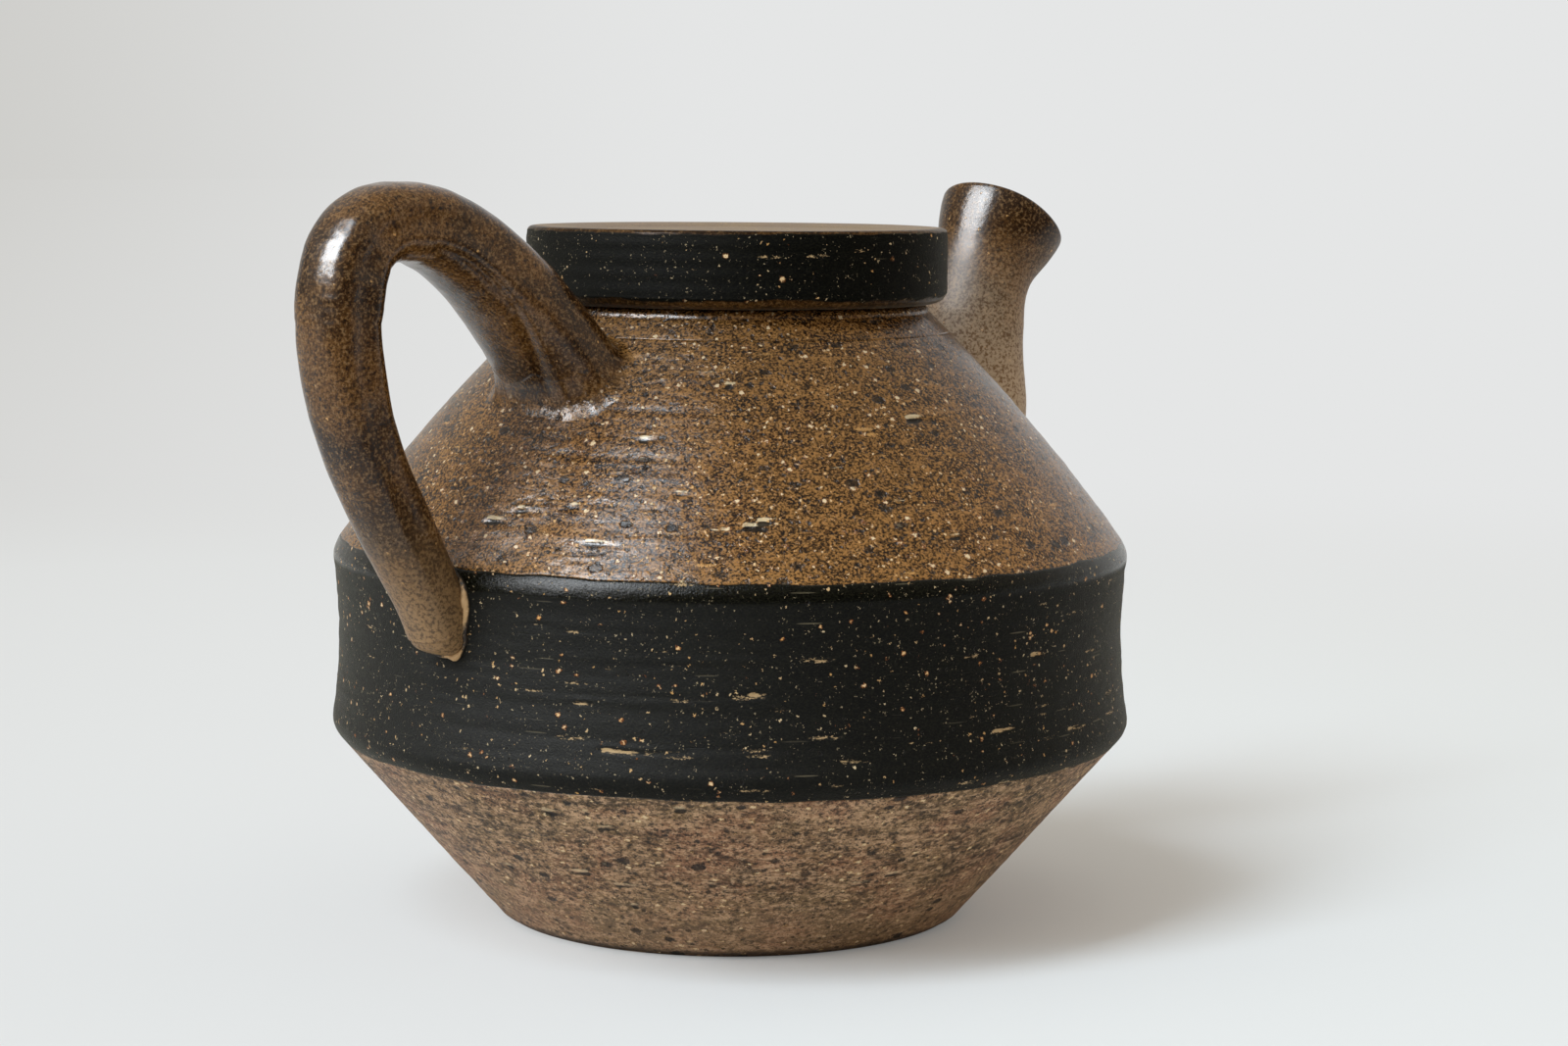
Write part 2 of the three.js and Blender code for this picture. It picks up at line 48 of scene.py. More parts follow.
# Pot wall, as in the frame
FOOT_R = 45.8
FOOT_BEVEL = 1.2
LOWER_CORNER_Z = 39.1
BELLY_R = 80
BAND_H = 35.1
BAND_TAPER = 0.5
BAND_WAIST = 1.4
SHOULDER_H = 47
SHOULDER_SWELL = 1.7
CORNER_SOFT = 1.9
WALL = 6
FLOOR = 7
INNER_SOFT = 6
UPPER_CORNER_Z = LOWER_CORNER_Z + BAND_H
UPPER_CORNER_R = BELLY_R - BAND_TAPER
LIP_EDGE_Z = UPPER_CORNER_Z + SHOULDER_H
SLIP_LOW_Z = LOWER_CORNER_Z - 2.6
SLIP_HIGH_Z = UPPER_CORNER_Z + 1.9

# Mouth and lid
MOUTH_R = 31.4
LIP_EDGE_R = 39.2
LIP_Z = LIP_EDGE_Z + 1.6
LIP_TURN = 2.4
NECK_Z = LIP_Z - 5.6
NECK_BEVEL = 2.4
LID_R = 41.9
LID_TOP_Z = 137.8
LID_RIM_W = 5
LID_DISH = 0.8
LID_DISH_SLOPE = 4
LID_HOLLOW_Z = 130.3
LID_SHIFT = (0.5, -0.6)
FLANGE_R = 30.2
FLANGE_LOW_Z = 113.8
FLANGE_TAPER = 0.6
FLANGE_EDGE = 1.4
HOLLOW_R = 25.2

# Handle centre line: tip, foot, outer bend, crest and root, as points in the plane y = 0
HANDLE_TIP = (-79.24, 58.2)
HANDLE_FOOT = (-80.14, 64.8)
HANDLE_BEND = (-104.1, 121.7)
HANDLE_CREST = (-90.1, 139.6)
HANDLE_ROOT = (-46.7, 107.85)
HANDLE_ANGLES = (97.7, 109.6, 90, 0, -56)
HANDLE_WIDTHS = (7, 11, 15, 16.4, 28.3)
HANDLE_THICKNESSES = (5.4, 11.4, 13.5, 14.5, 15.5)
STRAP_SQUARENESS = 2.6
ROOT_PLACE = 4              # places count the stretches from the tip
CLEAR_OF_WALL = 3.2         # a place where the strap stands well off the shoulder

# Spout axis: base, waist and rim
SPOUT_BASE = (64.95, 84.23)
SPOUT_WAIST = (77.9, 117.1)
SPOUT_RIM = (87.8, 138.2)
SPOUT_ANGLES = (43.7, 78.9, 55)
SPOUT_RADII = (15, 13.3, 11.2, 10.8, 13.8)
SPOUT_WALL = 3.8
SPOUT_RIM_WALL = 2.2
RIM_PLACE = 2

# Strainer holes behind the spout
SPOUT_INSET = 10.5
STRAINER_HOLE_R = 2
STRAINER_RING_R = 5.8
STRAINER_RING_HOLES = 6
STRAINER_RAISE = 2.5

# How finely shapes are divided. Rows lie closer than columns, because turning marks run round the pot.
COLUMNS = 540               # round the pot
ROW_STEP = 0.37             # along its wall, outside
INNER_ROWS = 10
STRAP_COLUMNS = 160
STRAP_ROWS = 420
SPOUT_COLUMNS = 120
SPOUT_ROWS = 150
SKIRT_ROWS = 22
SKIRT_COLUMNS = 240
RIDGE_ROWS = 14             # round the ridge at the strap's foot
RIDGE_COLUMNS = 260         # along it
HALVINGS = 40               # of a range, in a search
NOISE_ROWS = 509            # rows of a table of noise, after which it repeats
NOISE_START = 200           # keeps its heights above nothing

# Camera, fitted to the photograph
IMAGE_WIDTH = 1600
IMAGE_HEIGHT = 1067
SENSOR_WIDTH = 36
LENS = 77.3
CAMERA_TURN = -48           # degrees about +Z from straight in front
CAMERA_DISTANCE = 673.73
CAMERA_HEIGHT = 151.83
CAMERA_YAW = 0.8925
CAMERA_PITCH = 6.225
CAMERA_ROLL = 0.4205


# Noise and small helpers

def smooth_step(value, low, high):
    t = np.clip((value - low) / (high - low), 0, 1)
    return t * t * (3 - 2 * t)


def bump_at(value, centre, reach):
    """1 at centre, falling smoothly to nothing a few reaches away."""
    return np.exp(-((value - centre) / reach) ** 2)


def noise(turns, height, cells, seed):
    """Smooth noise from -1 to 1. It repeats after one turn, which holds that many cells, and height counts in
    cells."""
    table = np.random.default_rng(seed).uniform(-1, 1, (cells, NOISE_ROWS))
    u, v = np.broadcast_arrays(np.mod(turns, 1) * cells, np.asarray(height, float) + NOISE_START)
    i, j = np.floor(u).astype(int), np.floor(v).astype(int)
    s, t = u - i, v - j
    s, t = s * s * (3 - 2 * s), t * t * (3 - 2 * t)
    corner = lambda di, dj: table[(i + di) % cells, (j + dj) % NOISE_ROWS]
    low = corner(0, 0) * (1 - s) + corner(1, 0) * s
    high = corner(0, 1) * (1 - s) + corner(1, 1) * s
    return low * (1 - t) + high * t


# Camera

def camera_axes():
    """The photograph's right, forward and up as unit vectors."""
    rotation = (Matrix.Rotation(math.radians(CAMERA_ROLL), 3, "Y")
                @ Matrix.Rotation(math.radians(CAMERA_PITCH), 3, "X")
                @ Matrix.Rotation(math.radians(CAMERA_YAW - CAMERA_TURN), 3, "Z"))
    return [Vector(row) for row in rotation]


def camera_place():
    return Matrix.Rotation(math.radians(CAMERA_TURN), 3, "Z") @ Vector((0, -CAMERA_DISTANCE, CAMERA_HEIGHT))


def in_scene(name, data):
    made = bpy.data.objects.new(name, data)
    bpy.context.scene.collection.objects.link(made)
    return made


def make_camera():
    right, forward, up = camera_axes()
    data = bpy.data.cameras.new("camera")
    data.sensor_width = SENSOR_WIDTH
    data.lens = LENS
    data.clip_start, data.clip_end = 0.01, 100
    camera = in_scene("camera", data)
    turned = Matrix((right, up, -forward)).transposed().to_4x4()
    camera.matrix_world = Matrix.Translation(camera_place() * MM) @ turned
    bpy.context.scene.camera = camera


# The pot's wall

def soft_min(a, b, reach):
    near = np.maximum(reach - np.abs(a - b), 0) / reach
    return np.minimum(a, b) - near * near * reach / 4


def lower_cone(z):
    return FOOT_R + (BELLY_R - FOOT_R) * z / LOWER_CORNER_Z


def band_wall(z):
    t = (z - LOWER_CORNER_Z) / BAND_H
    return BELLY_R - BAND_TAPER * t - BAND_WAIST * 4 * t * (1 - t)


def shoulder_wall(z):
    t = (z - UPPER_CORNER_Z) / SHOULDER_H
    return UPPER_CORNER_R + (LIP_EDGE_R - UPPER_CORNER_R) * t + SHOULDER_SWELL * 4 * t * (1 - t)


def outer_radius(z):
    return soft_min(soft_min(lower_cone(z), band_wall(z), CORNER_SOFT), shoulder_wall(z), CORNER_SOFT)


def inner_radius(z):
    """Inside of the wall, whose thickness is measured square to each cone."""
    lower = WALL * math.hypot(LOWER_CORNER_Z, BELLY_R - FOOT_R) / LOWER_CORNER_Z
    upper = WALL * math.hypot(SHOULDER_H, UPPER_CORNER_R - LIP_EDGE_R) / SHOULDER_H
    low = soft_min(lower_cone(z) - lower, band_wall(z) - WALL, INNER_SOFT)
    return soft_min(low, shoulder_wall(z) - upper, INNER_SOFT)


def slip_low(turns):
    """Height of the slip's lower edge, which wavers round the pot."""
    return SLIP_LOW_Z + 0.5 * noise(turns, 0, 9, 11) + 0.22 * noise(turns, 0, 60, 12)


def slip_high(turns):
    return SLIP_HIGH_Z + 0.45 * noise(turns, 0, 11, 13) + 0.2 * noise(turns, 0, 90, 14)


def wall_lean(turns, z):
    """The low, slow part of how the wall strays from round. It dies out at the foot and at the lip."""
    held = smooth_step(z, 0, 14) * (1 - smooth_step(z, 100, NECK_Z))
    return held * (0.28 * noise(turns, z / 60, 5, 21) + 0.14 * noise(turns, z / 22, 11, 22))


def turning_lines(turns, z):
    """Long shallow ridges that the wheel and the trimming tool leave."""
    slow = 0.075 * noise(turns, z / 2.6, 7, 23)
    fine = 0.05 * noise(turns, z / 1.15, 16, 24)
    return slow + fine + 0.03 * noise(turns, z / 1.1, 240, 25)


class Marks:
    """Small dents that turning drags in the wall. Each is a pit at turns and z, with a tail of a length in mm
    round the pot. A lip of clay stands up along its upper or its lower side."""

    def __init__(self):
        self.rows = []

    def scatter(self, count, low, high, longest, deepest, seed):
        random = np.random.default_rng(seed)
        for _ in range(count):
            length = 0.8 + longest * random.random() ** 3
            self.add(random.random(), random.uniform(low, high), length, random.uniform(0.28, 0.42),
                     deepest * random.uniform(0.2, 1), random.random() < 0.5, random.choice([-1, 1]))

    def add(self, turns, z, length, width, depth, backward=False, lip=1):
        self.rows.append((turns, z, length, width, depth, backward, lip))

    def press(self, turns, z):
        """How deep the marks go, how much a place is scraped, and how much it is raised beside a scrape."""
        depth = np.zeros(z.shape)
        scraped = np.zeros(z.shape)
        raised = np.zeros(z.shape)
        columns = z.shape[1]
        for at, height, length, width, deep, backward, lip in self.rows:
            radius = float(outer_radius(np.array(height)))
            span = int((length + 4) / (TURN * radius) * columns) + 3
            picked = np.arange(int(at * columns) - span, int(at * columns) + span) % columns
            along = (np.mod(turns[:, picked] - at + 0.5, 1) - 0.5) * TURN * radius
            if backward:
                along = -along
            drift = 0.3 * noise(along / 600 + at * 7, 0, 60, 35)
            aside = (z[:, picked] - height + drift) / width
            tail = np.clip(along / length, 0, 1)
            kept = np.where(along < 0, bump_at(along, 0, 0.6), (1 - tail) ** 0.8)
            kept = kept * (0.75 + 0.25 * noise(along / 160 + at * 3, 0, 60, 36))
            groove = kept * bump_at(aside, 0, 1)
            beside = kept * bump_at(aside, 1.7 * lip, 0.7)
            depth[:, picked] += deep * (groove - 0.35 * beside)
            # How strongly a mark is coloured grows with its depth. On the band a scrape shows bare clay, but
            # on the shoulder and lower cone the groove takes painted shade and the raised lip a painted
            # highlight.
            strength = min(deep / 0.3, 1.4)
            scraped[:, picked] = np.maximum(scraped[:, picked], groove * strength)
            raised[:, picked] = np.maximum(raised[:, picked], beside * strength)
        return depth, scraped, raised


def turns_facing(x, y):
    return math.atan2(y, x) / TURN % 1


def on_wall(px, py):
    """Where the line of sight through a pixel of the photograph meets the pot's wall, as turns and height."""
    right, forward, up = camera_axes()
    focal = LENS / SENSOR_WIDTH * IMAGE_WIDTH
    ray = forward + right * ((px - IMAGE_WIDTH / 2) / focal) + up * ((IMAGE_HEIGHT / 2 - py) / focal)
    start = camera_place()
    steps = np.linspace(CAMERA_DISTANCE - 130, CAMERA_DISTANCE + 20, 1500)
    points = np.array(start)[None, :] + steps[:, None] * np.array(ray)[None, :]
    outside = np.hypot(points[:, 0], points[:, 1]) - outer_radius(points[:, 2])
    hit = points[np.argmax(outside < 0)]
    return turns_facing(hit[0], hit[1]), hit[2]


# The longest and deepest marks that the photograph shows: pixel of the pit's end, length and depth in mm,
# and whether the tail runs to the picture's left
BAND_MARKS = (
    (616, 765, 14, 0.34, False), (640, 769, 9, 0.2, False), (858, 779, 6, 0.34, False),
    (1016, 746, 7, 0.32, False), (1092, 744, 8, 0.32, False), (588, 717, 4, 0.24, False),
    (986, 669, 4, 0.3, False), (1054, 668, 3.5, 0.5, False), (766, 709, 3, 0.3, False),
    (790, 726, 3, 0.24, False), (655, 711, 6, 0.12, False), (985, 695, 5, 0.2, False),
    (930, 757, 7, 0.2, False), (1040, 690, 6, 0.2, False),
)
SHOULDER_MARKS = (
    (530, 521, 4.5, 0.6, False), (498, 532, 4.5, 0.55, False), (584, 517, 1.5, 0.4, False),
    (600, 555, 6, 0.3, False), (760, 541, 7, 0.42, False), (776, 536, 5, 0.35, False),
    (742, 545, 4, 0.3, True), (928, 430, 5, 0.5, False), (655, 449, 2, 0.45, False),
    (850, 480, 5, 0.2, False), (915, 515, 4, 0.3, False), (980, 548, 4, 0.3, True),
    (712, 384, 6, 0.2, False), (742, 396, 2, 0.4, False), (690, 505, 4, 0.25, False),
)
BOWL_MARKS = (
    (558, 829, 2.6, 0.8, False), (692, 829, 1.8, 0.8, False), (600, 892, 6, 0.45, True),
    (628, 904, 7, 0.25, False), (742, 911, 5, 0.25, False), (870, 903, 6, 0.3, False),
    (905, 893, 6, 0.3, False), (520, 885, 4, 0.3, False), (612, 845, 5, 0.3, False),
    (724, 905, 3, 0.3, False), (932, 872, 5, 0.3, False), (780, 872, 2, 0.35, False),
    (648, 926, 1, 0.4, False), (598, 830, 1, 0.35, False), (690, 902, 3, 0.25, False),
)

marks = Marks()
marks.scatter(170, 8, SLIP_LOW_Z - 1, 5, 0.22, 31)
marks.scatter(120, SLIP_LOW_Z + 2, SLIP_HIGH_Z - 2, 6, 0.16, 32)
marks.scatter(190, SLIP_HIGH_Z + 1, NECK_Z, 5, 0.2, 33)
for px, py, length, depth, leftward in BAND_MARKS + SHOULDER_MARKS + BOWL_MARKS:
    turns, height = on_wall(px, py)
    marks.add(turns, height, 1.2 * length, 0.34 + 0.3 * depth, depth, leftward)


def wall_points(turns, z):
    """Points of the outer wall, and how much each is scraped or raised by a mark."""
    depth, scraped, raised = marks.press(turns, z)
    radius = outer_radius(z) + wall_lean(turns, z) + turning_lines(turns, z) - depth
    angle = turns * TURN
    points = np.stack([radius * np.cos(angle), radius * np.sin(angle), z], axis=-1)
    return points, scraped, raised


def ring(radius, z, shift=(0, 0)):
    """One row of points round the axis. Radius and height are numbers or one value for each column."""
    angle = np.arange(COLUMNS) / COLUMNS * TURN
    radius, z = np.broadcast_arrays(np.asarray(radius, float), np.asarray(z, float))
    x = shift[0] + radius * np.cos(angle)
    y = shift[1] + radius * np.sin(angle)
    return np.stack(np.broadcast_arrays(x, y, z), axis=-1)


# Meshes

def grid_mesh(name, points, is_tube=False, facts=None, material_rows=(), cap_materials=(0, 0)):
    """A mesh from rows of points that run round it. A tube's last row joins its first, and any other mesh
    is closed by a fan at each end. facts gives a number at each point by name. material_rows gives the first
    row of each further material and the row after its last, and cap_materials those of the two fans."""
    rows, columns = points.shape[:2]
    flat = points.reshape(-1, 3)
    row = np.arange(rows if is_tube else rows - 1)
    column = np.arange(columns)
    a = row[:, None] * columns + column[None, :]
    b = row[:, None] * columns + (column[None, :] + 1) % columns
    c = ((row[:, None] + 1) % rows) * columns + (column[None, :] + 1) % columns
    d = ((row[:, None] + 1) % rows) * columns + column[None, :]
    quads = np.stack([a, b, c, d], axis=-1).reshape(-1, 4)
    centres = []
    fans = []
    for first, is_start in () if is_tube else ((0, True), ((rows - 1) * columns, False)):
        centre = len(flat) + len(centres)
        centres.append(flat[first:first + columns].mean(axis=0))
        for j in range(columns):
            pair = (first + j, first + (j + 1) % columns)
            fans.append((*(pair[::-1] if is_start else pair), centre))
    if centres:
        flat = np.concatenate([flat, centres])
    mesh = bpy.data.meshes.new(name)
    mesh.from_pydata((flat * MM).tolist(), [], quads.tolist() + fans)
    mesh.polygons.foreach_set("use_smooth", np.ones(len(mesh.polygons), bool))
    for fact, values in (facts or {}).items():
        attribute = mesh.attributes.new(fact, "FLOAT", "POINT")
        padded = np.concatenate([values.reshape(-1), np.zeros(len(centres))])
        attribute.data.foreach_set("value", padded.astype(np.float32))
    index = np.concatenate([np.zeros(len(quads)), np.repeat(cap_materials, columns)[:len(fans)]])
    face_row = np.repeat(row, columns)
    for number, (first, last) in enumerate(material_rows, start=1):
        index[:len(quads)][(face_row >= first) & (face_row < last)] = number
    mesh.polygons.foreach_set("material_index", index.astype(np.int32))
    mesh.update()
    return mesh


def face_out(mesh):
    """Turns every face outward."""
    work = bmesh.new()
    work.from_mesh(mesh)
    bmesh.ops.recalc_face_normals(work, faces=work.faces)
    work.to_mesh(mesh)
    work.free()
    mesh.update()


def piece(name, body, node, slot, materials, rows, **details):
    """A piece from rows of points, riding a body in the place of a node. details are those of grid_mesh."""
    mesh = grid_mesh(name, rows, **details)
    face_out(mesh)
    for material in materials:
        mesh.materials.append(material)
    made = in_scene(name, mesh)
    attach(made, body)
    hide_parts(node)
    return made


def stacked(*parts):
    """The rows of all parts in one, and the marks' facts at their points. A part is rows alone, which carry
    no marks, or what wall_points returns."""
    rows = []
    scraped = []
    raised = []
    for part in parts:
        points, scrape, rise = part if isinstance(part, tuple) else (np.array(part), 0, 0)
        rows.append(points)
        scraped.append(np.broadcast_to(scrape, points.shape[:2]))
        raised.append(np.broadcast_to(rise, points.shape[:2]))
    return np.concatenate(rows), {"scraped": np.concatenate(scraped), "raised": np.concatenate(raised)}


# Materials

def srgb(red, green, blue):
    """A colour written as 0 to 255, as linear numbers with an alpha."""
    linear = [((c / 255 + 0.055) / 1.055) ** 2.4 if c > 10 else c / 255 / 12.92 for c in (red, green, blue)]
    return (*linear, 1)


class Nodes:
    """A node tree with short calls for its usual nodes."""

    def __init__(self, owner):
        owner.use_nodes = True
        self.tree = owner.node_tree
        self.tree.nodes.clear()

    def new(self, kind):
        return self.tree.nodes.new("ShaderNode" + kind)

    def feed(self, socket, value):
        if isinstance(value, bpy.types.NodeSocket):
            self.tree.links.new(value, socket)
        else:
            socket.default_value = value

    def fed(self, node, values):
        for socket, value in zip(node.inputs, values):
            self.feed(socket, value)
        return node.outputs[0]

    def math(self, operation, *values):
        node = self.new("Math")
        node.operation = operation
        return self.fed(node, values)

    def vector(self, operation, *values):
        node = self.new("VectorMath")
        node.operation = operation
        self.fed(node, values)
        return node.outputs[1 if operation in ("LENGTH", "DOT_PRODUCT") else 0]

    def add(self, *values):
        total = values[0]
        for value in values[1:]:
            total = self.math("ADD", total, value)
        return total

    def times(self, *values):
        total = values[0]
        for value in values[1:]:
            total = self.math("MULTIPLY", total, value)
        return total

    def step(self, value, low, high, start=0.0, end=1.0):
        """A smooth change from start to end while value goes from low to high."""
        node = self.new("MapRange")
        node.interpolation_type = "SMOOTHSTEP"
        return self.fed(node, (value, low, high, start, end))

    def mix(self, share, first, second):
        node = self.new("Mix")
        node.data_type = "RGBA"
        self.feed(node.inputs[0], share)
        self.feed(node.inputs[6], first)
        self.feed(node.inputs[7], second)
        return node.outputs[2]

    def between(self, share, first, second):
        node = self.new("Mix")
        self.feed(node.inputs[0], share)
        self.feed(node.inputs[2], first)
        self.feed(node.inputs[3], second)
        return node.outputs[0]


class Surface(Nodes):
    """The nodes of one material, with calls for what clay and glaze need. Places are in mm. Its colour is
    laid on in coats."""

    def __init__(self, name):
        self.material = bpy.data.materials.new(name)
        super().__init__(self.material)
        coordinates = self.new("TexCoord").outputs["Object"]
        self.place = self.vector("MULTIPLY", coordinates, (1 / MM,) * 3)
        parts = self.new("SeparateXYZ")
        self.feed(parts.inputs[0], self.place)
        self.height = parts.outputs["Z"]
        ruffle = self.new("TexNoise")
        self.feed(ruffle.inputs["Vector"], self.place)
        ruffle.inputs["Scale"].default_value = 2.6
        ruffle.inputs["Detail"].default_value = 1
        shifted = self.vector("SUBTRACT", ruffle.outputs["Color"], (0.5, 0.5, 0.5))
        self.ruffled = self.vector("ADD", self.place, self.vector("MULTIPLY", shifted, (0.9, 0.9, 0.9)))

    def paint(self, colour, *shares):
        """One more coat, as thick as its shares multiplied together."""
        self.colour = self.mix(self.times(*shares), self.colour, colour)

    def wash(self, colour, mask, low, high, most=1.0):
        """One more coat, from nothing where mask is low to its most where mask is high."""
        self.paint(colour, self.step(mask, low, high, 0.0, most))

    def total(self, *pairs):
        """The sum of values, each times its weight."""
        return self.add(*(self.times(value, weight) for value, weight in pairs))

    def fact(self, name):
        node = self.new("Attribute")
        node.attribute_name = name
        return node.outputs["Fac"]

    def stretched(self, place, per_mm, round_pot, seed):
        """Places scaled to cells, drawn out round the pot by making them coarser across than up."""
        scaled = self.vector("MULTIPLY", place, (per_mm * round_pot, per_mm * round_pot, per_mm))
        return self.vector("ADD", scaled, (seed * 17.3, seed * 9.1, seed * 5.7))

    def cloud(self, per_mm, detail=3.0, rough=0.55, round_pot=1.0, seed=0, warp=0.0):
        node = self.new("TexNoise")
        self.feed(node.inputs["Vector"], self.stretched(self.place, per_mm, round_pot, seed))
        node.inputs["Scale"].default_value = 1
        node.inputs["Detail"].default_value = detail
        node.inputs["Roughness"].default_value = rough
        node.inputs["Distortion"].default_value = warp
        return node.outputs["Fac"]

    def grains(self, per_mm, size, share, round_pot=1.0, seed=0):
        """Separate grains: their masks, the masks of their cores, and a number that differs from grain to
        grain. size is the largest radius in cells, and share the part of the cells that hold a grain."""
        node = self.new("TexVoronoi")
        place = self.place if round_pot < 0.1 else self.ruffled
        self.feed(node.inputs["Vector"], self.stretched(place, per_mm, round_pot, seed))
        node.inputs["Scale"].default_value = 1
        split = self.new("SeparateColor")
        self.tree.links.new(node.outputs["Color"], split.inputs[0])
        chance, girth, tint = split.outputs
        present = self.math("LESS_THAN", chance, share)
        radius = self.math("MULTIPLY_ADD", girth, size * 0.65, size * 0.35)
        inside = self.step(node.outputs["Distance"], self.times(radius, 0.72), radius, 1.0, 0.0)
        core_edge = (self.times(radius, 0.45), self.times(radius, 0.72))
        core = self.step(node.outputs["Distance"], *core_edge, 1.0, 0.0)
        return self.times(inside, present), self.times(core, present), tint

    def broken(self, fact, per_mm, seed, breakup=1.4):
        """A fact of the mesh with its outline broken up by noise drawn out round the pot."""
        stray = self.math("SUBTRACT", self.cloud(per_mm, 3, 0.7, round_pot=0.25, seed=seed), 0.5)
        return self.step(self.add(self.fact(fact), self.times(stray, breakup)), 0.35, 0.6)

    def close(self, colour, roughness, height, specular=0.5, sheen=0.0):
        """The shader itself. height is in mm, and sheen is the dusty light of a matt surface seen edge on."""
        bump = self.new("Bump")
        bump.inputs["Distance"].default_value = MM
        bump.inputs["Strength"].default_value = 1
        self.feed(bump.inputs["Height"], height)
        shader = self.new("BsdfPrincipled")
        self.feed(shader.inputs["Base Color"], colour)
        self.feed(shader.inputs["Roughness"], roughness)
        shader.inputs["Specular IOR Level"].default_value = specular
        shader.inputs["Sheen Weight"].default_value = sheen
        shader.inputs["Sheen Roughness"].default_value = 0.35
        shader.inputs["Sheen Tint"].default_value = DUST_LIGHT
        self.tree.links.new(bump.outputs[0], shader.inputs["Normal"])
        output = self.new("OutputMaterial")
        self.tree.links.new(shader.outputs[0], output.inputs["Surface"])
        return self.material


DUST_LIGHT = srgb(236, 228, 200)
BLACK_SLIP = srgb(4, 4, 2)
DUSTY_SLIP = srgb(21, 20, 12)
WORN_SLIP = srgb(88, 80, 62)
BARE_CLAY = srgb(196, 164, 120)
GROG = srgb(214, 162, 96)
PALE_GROG_AND_LIP_HIGHLIGHT = srgb(232, 208, 166)
RUSTY_GROG = srgb(140, 80, 34)
SHOULDER_BROWN = srgb(86, 52, 18)
SHOULDER_OLIVE = srgb(90, 60, 24)
SHOULDER_TAN = srgb(164, 117, 64)
SHOULDER_DARK = srgb(18, 9, 3)
BOWL_BROWN = srgb(142, 108, 74)
BOWL_OLIVE = srgb(126, 98, 64)
BOWL_PALE = srgb(206, 168, 130)
BOWL_DARK = srgb(30, 19, 9)
BOWL_RED = srgb(158, 106, 76)
STRAP_TAN = srgb(104, 69, 31)
STRAP_DARK = srgb(22, 12, 4)
STRAP_BROWN = srgb(54, 32, 12)
STRAP_PALE = srgb(158, 124, 84)
IRON_SPOT_AND_GROOVE_SHADE = srgb(12, 7, 3)
LID_TOP_CLAY = srgb(132, 107, 70)
LID_TOP_OLIVE = srgb(122, 98, 70)
SPOUT_PALE = srgb(196, 168, 136)
SPOUT_DARK = srgb(134, 98, 62)
STRAP_DRY = srgb(100, 76, 50)
RIDGE_DARK = srgb(40, 30, 21)
RIDGE_PALE_TOP = srgb(190, 152, 106)
INSIDE_BROWN = srgb(84, 58, 36)
FOOT_CLAY_DARK = srgb(104, 80, 60)
FOOT_CLAY_PALE = srgb(150, 122, 94)


def slip_recipe(s, warmth=1.0, grog_share=1.0):
    """Matt black slip that lets the grog of the clay through: colour, roughness and height. warmth is how
    rusty the grog has stained the slip round it, and grog_share how much of it shows."""
    patches = s.cloud(0.05, 4, 0.6, seed=1)
    weave = s.cloud(3.2, 2, 0.6, round_pot=0.6, seed=2)
    dusty = s.step(s.cloud(0.4, 2, 0.5, seed=14), 0.4, 0.65)
    broken = s.step(s.cloud(2.4, 3, 0.7, round_pot=0.3, seed=9), 0.48, 0.58)
    low_down = s.step(s.height, 64, 40, 0.3, 1.0)
    clusters = s.step(s.cloud(0.07, 3, 0.6, seed=15), 0.42, 0.56, 0.25, 1.0)
    shares = [s.times(clusters, share * grog_share) for share in (0.11, 0.1, 0.08)]
    small, _, small_tint = s.grains(1.25, 0.42, shares[0], seed=4)
    middle, middle_core, middle_tint = s.grains(0.78, 0.4, shares[1], round_pot=0.8, seed=5)
    large, large_core, large_tint = s.grains(0.5, 0.36, shares[2], round_pot=0.8, seed=6)
    hair, _, hair_tint = s.grains(1.2, 0.24, 0.2, round_pot=0.06, seed=12)
    dust, _, _ = s.grains(2.2, 0.42, 0.2, seed=3)
    drawn, _, _ = s.grains(0.9, 0.42, s.times(low_down, 0.22), round_pot=0.12, seed=7)
    pits, _, _ = s.grains(0.8, 0.4, 0.1, seed=8)
    s.colour = BLACK_SLIP
    s.wash(DUSTY_SLIP, patches, 0.42, 0.75, 0.3)
    s.wash(DUSTY_SLIP, weave, 0.42, 0.64, 0.5 + 0.5 * warmth)
    s.paint(WORN_SLIP, hair, hair_tint)
    s.paint(PALE_GROG_AND_LIP_HIGHLIGHT, dust, dusty, 0.5)
    s.paint(RUSTY_GROG, middle, 0.8 * warmth)
    s.paint(RUSTY_GROG, large, 0.85 * warmth)
    s.paint(s.mix(small_tint, GROG, PALE_GROG_AND_LIP_HIGHLIGHT), small, 0.8)
    s.paint(s.mix(middle_tint, GROG, PALE_GROG_AND_LIP_HIGHLIGHT), middle_core, 0.95)
    s.paint(s.mix(large_tint, GROG, PALE_GROG_AND_LIP_HIGHLIGHT), large_core, 0.95)
    s.paint(BARE_CLAY, drawn, broken, 0.8)
    s.paint(BARE_CLAY, s.broken("scraped", 2.8, 13), 0.85)
    s.paint(IRON_SPOT_AND_GROOVE_SHADE, pits, 0.8)
    from_corner = s.math("ABSOLUTE", s.math("SUBTRACT", s.height, UPPER_CORNER_Z + 0.3))
    burnished = s.step(from_corner, 1.4, 3.0, 0.48, 0.0)
    dull = s.add(s.total((s.cloud(0.9, 3, 0.6, seed=10), 0.2), (large, 0.2)), 0.52)
    height = s.total(
        (s.cloud(2.4, 3, 0.7, seed=11), 0.09), (weave, 0.05), (small, 0.06), (large, 0.12), (middle, 0.08),
        (pits, -0.16), (drawn, -0.08), (hair, -0.04),
    )
    return s.colour, s.math("SUBTRACT", dull, burnished), height


